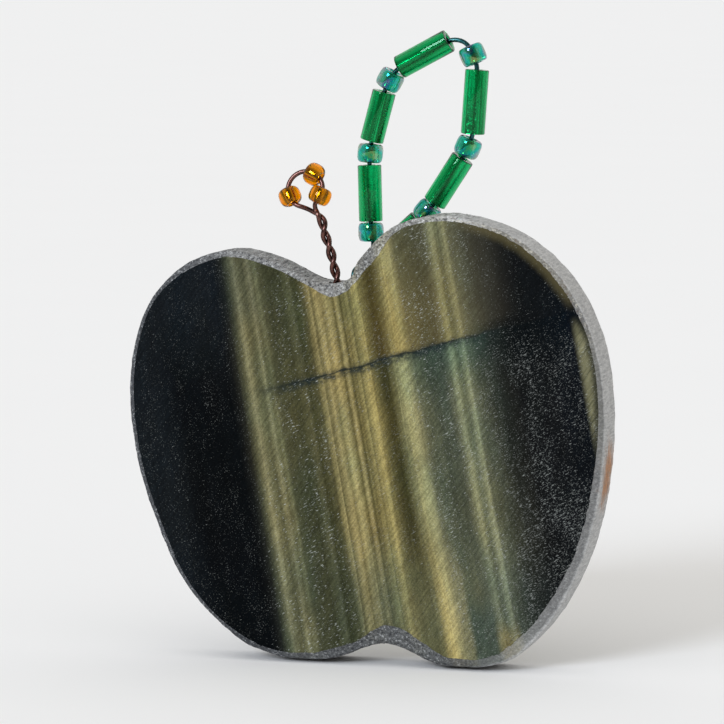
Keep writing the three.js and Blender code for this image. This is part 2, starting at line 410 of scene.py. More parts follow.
def cap(mesh: Mesh, end: float, centre: np.ndarray) -> np.ndarray:
    """Finds the face that closes one end of an upright piece.

    Args:
        mesh: The piece's mesh.
        end: 1 for its top and -1 for its bottom.
        centre: Where its axis stands.

    Returns:
        True for the face.
    """
    facing = triples(mesh.polygons, "normal")[:, 2] * end > FACING
    return facing & (np.linalg.norm(face_middles(mesh)[:, :2] - centre, axis=1) < CENTRED)


def apply_modifier(piece: Piece, kind: str, **settings: object) -> None:
    """Adds one modifier to a piece and applies it.

    Args:
        piece: The piece.
        kind: Blender's type name of the modifier.
        settings: Properties to set on it.
    """
    take(piece)
    modifier = piece.modifiers.new(kind.lower(), kind)
    for key, value in settings.items():
        setattr(modifier, key, value)
    bpy.ops.object.modifier_apply(modifier=modifier.name)


def smooth(piece: Piece, angle: float = 180.0) -> None:
    """Shades a piece smooth, apart from edges sharper than an angle.

    Args:
        piece: The piece.
        angle: The angle in degrees.
    """
    take(piece)
    if angle < 180.0:
        bpy.ops.object.shade_smooth_by_angle(angle=math.radians(angle))
    else:
        bpy.ops.object.shade_smooth()


def copy_of(piece: Piece, name: str) -> Piece:
    """Copies a piece with a mesh of its own.

    Args:
        piece: The piece.
        name: The copy's name.

    Returns:
        The copy.
    """
    mesh = piece.data.copy()
    mesh.name = name
    made = bpy.data.objects.new(name, mesh)
    bpy.context.scene.collection.objects.link(made)
    return made


def hand_over(piece: Piece, body: str, slot: str, *nodes: str) -> None:
    """Sets a finished piece on its body, in place of its CAD nodes, and reports it.

    Args:
        piece: The finished piece.
        body: The CAD body it moves with.
        slot: The record's material slot that its finish belongs to; not used.
        nodes: The CAD nodes it stands for.
    """
    deselect_all()
    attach(piece, body)
    if nodes:
        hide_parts(*nodes)
    log.info("%s: %d faces on %s", piece.name, len(piece.data.polygons), body)


class StoneSide(Enum):
    """The three ways the stone's surface was finished, in the order of its material slots."""

    POLISHED = 0
    GROUND = 1
    HONED = 2


@dataclass(frozen=True)
class Zone:
    """A part of the stone whose colour changes: fades along named measures of place, and the colour."""

    fades: tuple[Fade, ...]
    colour: Colour
    how: str = "MULTIPLY"


GOLD_ZONES = {
    "muted": Zone(
        (("along", -2.5, -0.5), ("along", 13.5, 10.0), ("from_gold", 0.9, 1.6), ("up", 17.0, 6.0, 0.0, 0.48)),
        srgb(100, 102, 79),
        "MIX",
    ),
    "flare": Zone((("dull", 1.0, 0.0), ("up", 15.0, 6.0, 0.0, 0.8)), (1.35, 1.25, 1.15, 1.0)),
}
BAND_ZONES = {
    "flank": Zone((("from_flank", 1.3, 0.2), ("up", 15.0, 8.0, 0.0, 0.55)), srgb(132, 127, 97), "MIX"),
    "left_foot": Zone((("along", 1.5, -0.5), ("up", 15.0, 8.0)), (0.88, 0.95, 1.04, 1.0)),
    "right_foot": Zone((("along", 9.5, 10.8), ("up", 15.0, 8.0)), (0.78, 0.84, 0.94, 1.0)),
    "furrow": Zone((("along", -6.5, -5.2), ("along", -2.7, -3.6), ("up", 14.0, 7.0)), (0.74, 0.8, 0.86, 1.0)),
    "dim_top": Zone((("along", -7.5, -9.5), ("up", 33.0, 38.0)), (0.74, 0.78, 0.88, 1.0)),
    "gold_foot": Zone(
        (("along", -4.0, -3.4), ("along", 1.4, 0.4), ("up", 14.0, 8.0)), (0.82, 0.84, 0.88, 1.0)
    ),
    "gold_top": Zone(
        (("along", -3.9, -3.5), ("along", 2.2, 1.4), ("up", 31.5, 33.5)), (0.92, 0.9, 0.88, 1.0)
    ),
    "teal_foot": Zone(
        (("along", 7.4, 8.6), ("along", 11.6, 10.6), ("up", 9.0, 5.0, 0.0, 0.6)), srgb(56, 70, 66), "MIX"
    ),
    "amber_foot": Zone(
        (("along", 10.4, 11.6), ("along", 13.8, 12.8), ("up", 6.0, 3.6, 0.0, 0.6)), srgb(118, 108, 72), "MIX"
    ),
}
OVER_CRACK = (
    ("along", 1.0, 6.0), ("along", 17.0, 10.5), ("above", -0.05, 0.2), ("above", 13.0, 3.0, 0.3, 1.0)
)
CRACK_ZONES = {
    "cooler_under": Zone(
        (("above", 0.05, -0.2), ("above", -7.0, -0.5), ("across", 1.0, 8.0)), (0.6, 0.8, 0.9, 1.0)
    ),
    "warmer_over": Zone(OVER_CRACK, (0.88, 0.79, 0.64, 1.0)),
    "lighter_over": Zone(OVER_CRACK, (0.044, 0.028, 0.008, 1.0), "ADD"),
    "shaded_over": Zone((("along", 7.6, 8.8), ("along", 14.0, 12.8), *OVER_CRACK), (0.88, 0.88, 0.88, 1.0)),
    "hazy_right": Zone(
        (("along", 12.4, 13.6), ("along", 20.0, 16.0), ("above", 0.2, 1.6)), (0.017, 0.015, 0.011, 1.0), "ADD"
    ),
}
# Painted glow: a warm band of light laid on the face along its upper right edge.
RIM_PAINTED_GLOW = Zone(
    (("rim", 1.1, 0.0), ("across", 8.0, 13.0), ("above", -0.5, 2.0, 0.0, 0.56)), srgb(98, 91, 64), "MIX"
)


@dataclass(frozen=True)
class BandedStone:
    """Tiger's eye passing into blue hawk's eye, cut across its fibres, measured in millimetres."""

    slant: float = 0.176
    slant_change: float = 0.0008
    slant_height: float = 24.0
    crack_height: float = 31.6
    crack_slope: float = 0.285
    bright_gold: float = 6.0
    pale_flank: float = 7.3
    tone: Tint = (0.9, 0.882, 0.81)
    speck: Colour = srgb(206, 211, 206)
    left_bands: tuple[tuple[float, Seen], ...] = (
        (-13.6, (5, 8, 11)),
        (-13.0, (15, 17, 17)),
        (-12.4, (34, 35, 30)),
        (-11.9, (66, 67, 51)),
        (-11.5, (96, 95, 71)),
        (-11.1, (124, 121, 92)),
        (-10.6, (98, 96, 70)),
        (-10.05, (84, 83, 60)),
        (-9.75, (104, 102, 75)),
        (-9.5, (123, 120, 91)),
        (-9.1, (97, 95, 68)),
        (-8.7, (102, 101, 74)),
        (-8.3, (75, 75, 54)),
        (-7.8, (65, 66, 47)),
        (-6.2, (61, 62, 43)),
        (-5.6, (75, 76, 54)),
        (-5.2, (80, 80, 58)),
        (-4.8, (61, 61, 39)),
        (-4.1, (75, 73, 49)),
        (-3.8, (82, 78, 52)),
        (-3.5, (116, 109, 74)),
        (-3.2, (136, 127, 89)),
        (-3.03, (101, 95, 64)),
        (-2.4, (152, 141, 98)),
        (-2.0, (122, 113, 76)),
        (-1.4, (157, 146, 101)),
        (-0.72, (96, 89, 56)),
        (-0.38, (152, 141, 98)),
        (0.05, (82, 77, 47)),
        (0.3, (108, 101, 66)),
        (0.5, (105, 98, 63)),
    )
    right_bands: tuple[tuple[float, Seen], ...] = (
        (0.5, (105, 98, 63)),
        (0.9, (135, 127, 85)),
        (1.05, (102, 96, 63)),
        (1.85, (159, 148, 98)),
        (2.3, (112, 104, 67)),
        (2.7, (91, 86, 55)),
        (3.3, (65, 62, 37)),
        (3.9, (59, 57, 33)),
        (4.4, (86, 84, 57)),
        (4.9, (116, 114, 82)),
        (5.5, (146, 142, 102)),
        (6.2, (149, 145, 107)),
        (6.6, (120, 119, 90)),
        (7.0, (92, 94, 74)),
        (7.6, (80, 84, 67)),
        (8.8, (66, 71, 58)),
        (10.1, (69, 74, 62)),
        (10.6, (92, 96, 79)),
        (11.0, (114, 118, 93)),
        (11.3, (136, 139, 110)),
        (11.65, (102, 106, 82)),
        (12.0, (92, 97, 78)),
        (12.4, (118, 122, 97)),
        (12.7, (133, 136, 108)),
        (13.0, (92, 95, 76)),
        (13.5, (76, 80, 65)),
        (14.2, (63, 67, 56)),
        (15.0, (50, 53, 45)),
        (16.0, (34, 36, 32)),
        (18.0, (16, 18, 19)),
        (24.0, (9, 14, 20)),
    )

    def polished(self, bands: Tree) -> Material:
        """Makes the polished front's material.

        Args:
            bands: The stone's pattern.

        Returns:
            The material.
        """
        material, graph, shader = new_material("polished_face")
        place = graph.place()
        rim = graph.node("ShaderNodeAttribute", attribute_name="rim").outputs["Fac"]
        stone = graph.group(bands, Place=place, Rim=rim).outputs
        haze = graph.fade(graph.clouds(place, 0.6, 3.0), 0.3, 0.7, 0.16, 0.26)
        finish = {
            "Base Color": stone["Colour"],
            "Roughness": graph.total(haze, graph.product(stone["Specks"], 0.3)),
            "Specular IOR Level": 0.03,
            "Normal": graph.bump(graph.less(stone["Fibre"], stone["Specks"]), 0.003),
        }
        graph.fill(shader, finish)
        return material

    def honed(self, bands: Tree) -> Material:
        """Makes the plain back's material.

        Args:
            bands: The stone's pattern.

        Returns:
            The material.
        """
        material, graph, shader = new_material("honed_back")
        place = graph.place()
        paint = Paint(graph, graph.group(bands, Place=place, Rim=9.0).outputs["Colour"])
        dust = graph.clouds(place, 1.6, 4.0, 0.65)
        paint.layer(graph.fade(dust, 0.4, 0.8, 0.05, 0.3), srgb(120, 122, 118))
        finish = {
            "Base Color": paint.colour,
            "Roughness": graph.fade(dust, 0.3, 0.7, 0.42, 0.6),
            "Specular IOR Level": 0.25,
            "Normal": graph.bump(dust, 0.012),
        }
        graph.fill(shader, finish)
        return material

    def ground(self, bands: Tree) -> Material:
        """Makes the ground bevel and wall's material: grey, grainy, flecked with white.

        Args:
            bands: The stone's pattern.

        Returns:
            The material.
        """
        material, graph, shader = new_material("ground_edge")
        place = graph.place()
        across, depth, up = graph.split(place)
        grain = graph.clouds(graph.stretch(place, (1.0, 0.2, 1.0)), 4.2, 5.0, 0.8)
        coarse = graph.clouds(graph.stretch(place, (0.9, 0.13, 1.1)), 4.6, 3.0, 0.7)
        crumbs = graph.clouds(place, 2.2, 4.0, 0.7)
        streaks = graph.clouds(graph.stretch(place, (0.6, 2.4, 0.5)), 1.6, 4.0, 0.65)
        bevel = graph.fade(depth, -3.85, -4.1)
        left = graph.fade(across, 14.0, 8.0, 0.25, 1.0)
        right = graph.fade(across, 10.0, 17.0)
        top = graph.product(graph.fade(up, 26.0, 38.0), graph.fade(across, -23.0, -10.0))
        top = graph.product(top, graph.fade(across, 0.0, 9.0, 0.46, 0.9))
        foot = graph.product(graph.fade(up, 10.0, 6.0, 0.0, 0.12), graph.fade(across, -13.0, -8.0))
        bright = graph.most(top, right, foot)
        dark = graph.ramp(grain, ((0.25, srgb(14, 17, 21)), (0.75, srgb(88, 92, 98))))
        pale = graph.ramp(grain, ((0.25, srgb(134, 136, 138)), (0.75, srgb(232, 231, 229))))
        paint = Paint(graph, graph.blend(bright, dark, pale))
        smoky = graph.product(bevel, graph.fade(across, 9.0, 15.0, 0.0, 0.66))
        notch = graph.window(across, (-5.0, 0.0), (12.0, 6.0))
        notch = graph.product(notch, graph.fade(up, 30.0, 38.0, 0.0, 0.45))
        stone = graph.group(bands, Place=place, Rim=0.0)
        paint.layer(graph.most(notch, smoky, 0.12), stone.outputs["Colour"])
        fleck = graph.product(graph.fade(coarse, 0.55, 0.68), left, graph.fade(bright, 0.0, 0.8, 0.42, 0.75))
        paint.layer(fleck, srgb(222, 225, 226))
        paint.layer(graph.product(graph.fade(coarse, 0.49, 0.37), left, 0.85), srgb(38, 40, 44))
        upper = graph.product(graph.fade(across, 6.0, 11.0), graph.fade(up, 32.0, 36.0))
        upper = graph.product(upper, bevel)
        paint.layer(graph.product(graph.fade(crumbs, 0.52, 0.62, 0.0, 0.7), upper), srgb(204, 200, 188))
        paint.layer(graph.product(graph.fade(crumbs, 0.44, 0.36, 0.0, 0.6), upper), srgb(112, 92, 72))
        rust = ((0.36, srgb(98, 82, 72)), (0.5, srgb(168, 126, 88)), (0.62, srgb(192, 114, 42)))
        paint.layer(self.stain(graph, place), graph.ramp(streaks, rust))
        finish = {
            "Base Color": paint.colour,
            "Roughness": graph.fade(grain, 0.3, 0.7, 0.5, 0.75),
            "Specular IOR Level": 0.3,
            "Normal": graph.bump(graph.total(grain, graph.product(coarse, 0.8)), 0.09),
        }
        graph.fill(shader, finish)
        return material

    def stain(self, graph: Graph, place: Socket) -> Socket:
        """Gives the mask of the rusty stain on the right-hand wall.

        Args:
            graph: The material's graph.
            place: Place on the piece.

        Returns:
            The mask.
        """
        across, depth, up = graph.split(place)
        height = graph.product(graph.less(up, 20.6), 0.26)
        inward = graph.product(graph.total(depth, 1.2), 0.42)
        squares = graph.total(graph.math("POWER", height, 2.0), graph.math("POWER", inward, 2.0))
        ragged = graph.clouds(graph.stretch(place, (1.0, 1.6, 0.45)), 1.3, 5.0, 0.7)
        far = graph.math("MULTIPLY_ADD", ragged, 2.2, graph.math("SQRT", squares))
        return graph.product(graph.fade(far, 2.35, 1.35), graph.fade(across, 20.0, 23.0), 0.95)


class StonePattern:
    """The node group that gives the stone's colour, fibre relief and pale specks at each place."""

    inputs = {"Place": "NodeSocketVector", "Rim": "NodeSocketFloat"}
    outputs = {"Colour": "NodeSocketColor", "Fibre": "NodeSocketFloat", "Specks": "NodeSocketFloat"}

    def __init__(self, stone: BandedStone) -> None:
        """Starts the group and works out the places that the layers are read at.

        Args:
            stone: The stone.
        """
        self.stone = stone
        self.tree = bpy.data.node_groups.new("stone_bands", "ShaderNodeTree")
        for side, sockets in (("INPUT", self.inputs), ("OUTPUT", self.outputs)):
            for label, kind in sockets.items():
                self.tree.interface.new_socket(label, in_out=side, socket_type=kind)
        self.graph = Graph(self.tree)
        given = self.graph.node("NodeGroupInput")
        self.place = given.outputs["Place"]
        self.rim = given.outputs["Rim"]
        self.across, _, self.up = self.graph.split(self.place)
        self.along = self.band_place()
        self.from_gold = self.graph.distance(self.along, stone.bright_gold)
        self.dull = self.graph.fade(self.from_gold, 0.9, 1.6)
        self.from_flank = self.graph.distance(self.along, stone.pale_flank)
        self.above = self.height_over_crack()
        self.fibre = self.fibres()
        self.paint = Paint(self.graph, self.band_colour())

    def build(self) -> Tree:
        """Lays the layers on.

        Returns:
            The finished group.
        """
        self.vary_bands()
        self.lay_fibres()
        self.lay_crack()
        self.lay_borders()
        self.paint.tint(1.0, self.stone.tone)
        specks = self.specks()
        self.paint.layer(specks, self.stone.speck)
        found = {"Colour": self.paint.colour, "Fibre": self.fibre, "Specks": specks}
        self.graph.fill(self.graph.node("NodeGroupOutput"), found)
        return self.tree

    def lay(self, zones: Iterable[Zone]) -> None:
        """Lays zones on in order.

        Args:
            zones: The zones.
        """
        for zone in zones:
            fades = [self.graph.fade(getattr(self, measure), *edge) for measure, *edge in zone.fades]
            self.paint.layer(self.graph.product(*fades), zone.colour, zone.how)

    def uneven(self, stretch: Tint, scale: float, detail: float, rough: float = 0.5) -> Socket:
        """Gives stretched noise to either side of nought."""
        cloud = self.graph.clouds(self.graph.stretch(self.place, stretch), scale, detail, rough)
        return self.graph.less(cloud, 0.5)

    def cells(self, wide: float, tall: float, layer: float = 0.0) -> Socket:
        """Gives places stretched along the bands, for noise."""
        return self.graph.join(self.graph.product(self.along, wide), layer, self.graph.product(self.up, tall))

    def slanted(self, across: float, up: float) -> Socket:
        """Gives the place along a slanting direction."""
        return self.graph.total(self.graph.product(self.across, across), self.graph.product(self.up, up))

    def band_place(self) -> Socket:
        """Gives the place across the bands, which lean and waver.

        Returns:
            Millimetres across the bands.
        """
        graph = self.graph
        slow = self.uneven((0.7, 0.7, 0.4), 0.09, 1.0)
        quick = self.uneven((1.0, 1.0, 0.5), 1.7, 3.0, 0.6)
        waver = graph.total(graph.product(slow, 0.2), graph.product(quick, 0.07))
        lean = graph.math("MULTIPLY_ADD", self.across, self.stone.slant_change, self.stone.slant)
        height = graph.less(self.up, self.stone.slant_height)
        shifted = graph.math("MULTIPLY_ADD", lean, height, self.across)
        bend = graph.fade(self.up, 16.0, 8.0, 0.0, 0.35)
        bend = graph.product(bend, graph.window(shifted, (2.5, 4.5), (9.0, 7.5)))
        return graph.total(graph.less(shifted, bend), waver)

    def height_over_crack(self) -> Socket:
        """Gives the height above the healed crack that crosses the face.

        Returns:
            Millimetres above the crack, negative below it.
        """
        graph = self.graph
        line = graph.math("MULTIPLY_ADD", self.across, self.stone.crack_slope, self.stone.crack_height)
        line = graph.math("MULTIPLY_ADD", self.uneven((1.0, 0.2, 0.1), 0.22, 2.0), 1.1, line)
        line = graph.math("MULTIPLY_ADD", self.uneven((1.0, 0.3, 0.3), 1.4, 3.0, 0.6), 0.32, line)
        return graph.less(self.up, line)

    def fibres(self) -> Socket:
        """Gives the relief of the fine fibres that slant across the bands."""
        over, along = self.slanted(-0.82, 0.57), self.slanted(0.57, 0.82)
        hairs = self.graph.join(self.graph.product(over, 3.9), 0.0, self.graph.product(along, 0.3))
        return self.graph.clouds(hairs, 1.0, 2.0, 0.6)

    def band_colour(self) -> Socket:
        """Looks the bands' colours up.

        Returns:
            The colour.
        """
        rows = []
        for bands in (self.stone.left_bands, self.stone.right_bands):
            first = bands[0][0]
            reach = bands[-1][0] - first
            share = self.graph.math("DIVIDE", self.graph.less(self.along, first), reach)
            stops = [((place - first) / reach, srgb(*seen)) for place, seen in bands]
            rows.append(self.graph.ramp(share, stops))
        side = self.graph.math("GREATER_THAN", self.along, self.stone.right_bands[0][0])
        return self.graph.blend(side, *rows)

    def vary_bands(self) -> None:
        """Makes the bands uneven along their length, and bluer or browner in zones and patches."""
        graph, paint, along, up = self.graph, self.paint, self.along, self.up
        self.lay(GOLD_ZONES.values())
        paint.shade(graph.fade(graph.clouds(self.cells(0.5, 0.1), 1.0), 0.25, 0.75, 0.84, 1.16))
        self.lay(BAND_ZONES.values())
        misty = graph.product(graph.fade(along, -12.0, -14.0), graph.fade(up, 26.0, 40.0, 0.0, 0.03))
        misty = graph.most(misty, graph.fade(along, -18.0, -22.5, 0.0, 0.024))
        paint.layer(misty, srgb(120, 138, 158))
        patches = ((0.3, (0.84, 0.96, 1.02, 1.0)), (0.5, (1.0, 1.0, 1.0, 1.0)), (0.7, (1.1, 1.02, 0.92, 1.0)))
        patch = graph.clouds(self.cells(0.3, 0.09, 4.0), 1.0, 3.0, 0.55)
        paint.layer(1.0, graph.ramp(patch, patches), "MULTIPLY")
        paint.shade(graph.fade(graph.clouds(self.place, 5.5, 3.0, 0.7), 0.25, 0.75, 0.7, 1.3))

    def lay_fibres(self) -> None:
        """Lays fine lines along the bands and the slanting fibres over them."""
        graph = self.graph
        streak = graph.fade(graph.clouds(self.cells(3.4, 0.07), 1.0, 3.0, 0.6), 0.25, 0.75, 0.88, 1.12)
        golden = graph.window(self.along, (-3.7, -3.1), (7.6, 6.6))
        thread = graph.fade(graph.clouds(self.cells(5.5, 0.04, 7.0), 1.0, 1.0), 0.58, 0.7, 0.0, 0.2)
        lines = graph.total(streak, graph.product(thread, golden))
        self.paint.shade(graph.product(lines, graph.fade(self.fibre, 0.3, 0.7, 0.78, 1.22)))

    def lay_crack(self) -> None:
        """Draws the healed crack, with warmer stone over it and cooler stone under it."""
        graph, paint, across, above = self.graph, self.paint, self.across, self.above
        self.lay(CRACK_ZONES.values())
        ragged = graph.clouds(graph.stretch(self.place, (1.0, 1.0, 1.6)), 1.3, 5.0, 0.65)
        middle = graph.window(across, (-14.0, -6.0), (16.0, 8.0))
        stain = graph.product(graph.fade(graph.distance(above, -0.2), 0.9, 0.05), middle)
        stain = graph.product(stain, graph.fade(ragged, 0.3, 0.62, 0.15, 1.0), 0.9)
        paint.layer(stain, srgb(30, 41, 44))
        width = graph.fade(graph.clouds(self.place, 0.9, 3.0), 0.32, 0.68, 0.1, 0.3)
        line = graph.less(1.0, graph.math("DIVIDE", graph.math("ABSOLUTE", above), width))
        line = graph.product(graph.fade(line, 0.0, 1.0), graph.window(across, (-13.0, -5.0), (18.0, 9.0)))
        paint.layer(graph.product(line, 0.8), srgb(26, 33, 34))

    def lay_borders(self) -> None:
        """Ends the yellow sliver at the crack and paints a warm glow of light along the upper right edge of
        the face.
        """
        graph = self.graph
        sliver = graph.product(graph.fade(self.along, 24.3, 25.1), graph.fade(self.above, -0.4, -3.0))
        sliver = graph.product(sliver, graph.fade(self.rim, 0.0, 0.7, 0.25, 1.0))
        yellow = graph.ramp(self.fibre, ((0.3, srgb(84, 84, 66)), (0.7, srgb(132, 130, 104))))
        self.paint.layer(sliver, yellow)
        # Painted glow along the upper right edge of the face.
        self.lay((RIM_PAINTED_GLOW,))

    def specks(self) -> Socket:
        """Scatters the pale pin-holes and short scratches, thickest on the right.

        Returns:
            How much each place is covered.
        """
        graph, across, up = self.graph, self.across, self.up
        clump = graph.fade(graph.clouds(self.cells(0.45, 0.2, 2.0), 1.0, 4.0, 0.65), 0.3, 0.7, -0.055, 0.045)
        top_right = graph.product(graph.fade(across, 8.0, 14.0), graph.fade(up, 32.0, 40.0, 0.0, 0.06))
        low_right = graph.product(graph.fade(across, 14.0, 18.0), graph.fade(up, 25.0, 15.0, 0.0, 0.035))
        clump = graph.total(graph.less(clump, top_right), low_right)
        dense = graph.less(graph.fade(across, -13.0, 12.0, 0.62, 0.58), clump)
        sparse = graph.less(graph.fade(across, -13.0, -8.0, 0.72, 0.62), clump)
        tilted = graph.join(self.slanted(1.9, 1.1), 0.0, self.slanted(-4.1, 7.0))
        dust = self.scatter(graph.clouds(self.place, 8.6, 1.0), dense, 0.2)
        scratch = self.scatter(graph.clouds(tilted, 1.0, 1.0), sparse, 0.12)
        dust = graph.product(dust, graph.fade(across, -14.0, 8.0, 0.13, 0.17))
        scratch = graph.product(scratch, graph.fade(across, 8.0, 16.0, 0.4, 0.25))
        golden = graph.window(self.along, (-4.2, -3.2), (7.2, 6.4))
        return graph.product(graph.most(dust, scratch), graph.fade(golden, 0.0, 1.0, 1.0, 0.45))

    def scatter(self, cloud: Socket, level: Socket, soft: float) -> Socket:
        """Keeps only the peaks of a fine cloud above a level, which leaves ragged dots."""
        return self.graph.fade(self.graph.math("DIVIDE", self.graph.less(cloud, level), soft), 0.0, 1.0)


@dataclass(frozen=True)
class BareWire:
    """A craft wire with a coloured metal skin, scuffed where it was bent."""

    name: str
    deep: Seen
    light: Seen
    scuff: Seen
    roughness: float = 0.3

    def material(self) -> Material:
        """Makes the wire's material.

        Returns:
            The material.
        """
        material, graph, shader = new_material(self.name)
        place = graph.place()
        mottle = graph.clouds(place, 1.3, 4.0, 0.6)
        paint = Paint(graph, graph.ramp(mottle, ((0.3, srgb(*self.deep)), (0.7, srgb(*self.light)))))
        rub = graph.fade(graph.clouds(place, 3.2, 3.0, 0.7), 0.6, 0.72)
        paint.layer(graph.product(rub, 0.7), srgb(*self.scuff))
        finish = {
            "Base Color": paint.colour,
            "Metallic": 1.0,
            "Roughness": graph.fade(mottle, 0.3, 0.7, self.roughness - 0.08, self.roughness + 0.12),
            "Coat Weight": 0.3,
            "Coat Roughness": 0.12,
            "Normal": graph.bump(mottle, 0.01),
        }
        graph.fill(shader, finish)
        return material


@dataclass(frozen=True)
class TintedGlass:
    """Clear coloured glass for the beads."""

    name: str
    light: Tint
    deep: Tint
    mirror: Tint = (1.0, 1.0, 1.0)
    # Colours and share of the painted sheen: patches mixed into the glass's colour that stand in for the
    # coating's glints.
    painted_sheen_colours: tuple[Seen, ...] = ()
    painted_sheen_share: float = 0.0
    film_thickness: float = 0.0
    film_swing: float = 0.0
    film_index: float = 1.33
    coat: float = 0.0

    def material(self) -> Material:
        """Makes the glass; where it has an iridescent skin, it also gets patches of painted sheen mixed into
        its colour.

        Returns:
            The material.
        """
        material, graph, shader = new_material(self.name)
        swirl = graph.clouds(graph.stretch(graph.own_place(), (1.7, 1.7, 0.12)), 1.0)
        paint = Paint(graph, graph.ramp(swirl, ((0.3, (*self.deep, 1.0)), (0.7, (*self.light, 1.0)))))
        if self.painted_sheen_colours:
            # Painted sheen: cyan, blue and violet patches stand in for the coating's glints, and the greens
            # vary the glass's own colour.
            patch = graph.clouds(graph.place(), 0.75)
            places = np.linspace(0.3, 0.7, len(self.painted_sheen_colours))
            stops = [(float(place), srgb(*seen)) for place, seen in zip(places, self.painted_sheen_colours)]
            paint.layer(self.painted_sheen_share, graph.ramp(patch, stops))
            film = self.film_thickness - self.film_swing, self.film_thickness + self.film_swing
            graph.fill(shader, {"Thin Film Thickness": graph.fade(patch, 0.3, 0.7, *film)})
        finish = {
            "Base Color": paint.colour,
            "Transmission Weight": 1.0,
            "IOR": 1.52,
            "Roughness": 0.03,
            "Specular Tint": (*self.mirror, 1.0),
            "Coat Weight": self.coat,
            "Coat Roughness": 0.16,
            "Thin Film IOR": self.film_index,
            "Normal": graph.bump(swirl, 0.01),
        }
        graph.fill(shader, finish)
        return material


@dataclass(frozen=True)
class SilverLining:
    """Silvering inside a bead's bore, crazed and worn in places."""

    name: str
    worn_through: Seen = (222, 196, 120)
    tarnish: Seen = (48, 46, 38)

    def material(self) -> Material:
        """Makes the silvering's material.

        Returns:
            The material.
        """
        material, graph, shader = new_material(self.name)
        streak = graph.clouds(graph.stretch(graph.own_place(), (2.4, 2.4, 0.1)), 1.0)
        silver = ((0.34, srgb(112, 132, 108)), (0.44, srgb(176, 190, 168)), (0.6, srgb(226, 234, 222)))
        paint = Paint(graph, graph.ramp(streak, silver))
        worn = graph.clouds(graph.place(), 2.6, 4.0, 0.7)
        paint.layer(graph.fade(worn, 0.64, 0.7, 0.0, 0.8), srgb(*self.worn_through))
        paint.layer(graph.fade(worn, 0.34, 0.28, 0.0, 0.8), srgb(*self.tarnish))
        finish = {
            "Base Color": paint.colour,
            "Metallic": 1.0,
            "Roughness": graph.fade(worn, 0.3, 0.6, 0.34, 0.1),
            "Normal": graph.bump(worn, 0.008),
        }
        graph.fill(shader, finish)
        return material


@dataclass(frozen=True)
class CuredCement:
    """Clear cement gone slightly yellow, holding a wire in its hole."""

    name: str = "cured_cement"

    def material(self) -> Material:
        """Makes the cement's material.

        Returns:
            The material.
        """
        material, graph, shader = new_material(self.name)
        cloud = graph.clouds(graph.place(), 2.4, 4.0, 0.6)
        finish = {
            "Base Color": graph.ramp(cloud, ((0.3, srgb(148, 136, 110)), (0.7, srgb(196, 186, 160)))),
            "Roughness": graph.fade(cloud, 0.3, 0.7, 0.18, 0.35),
            "Normal": graph.bump(cloud, 0.03),
        }
        graph.fill(shader, finish)
        return material


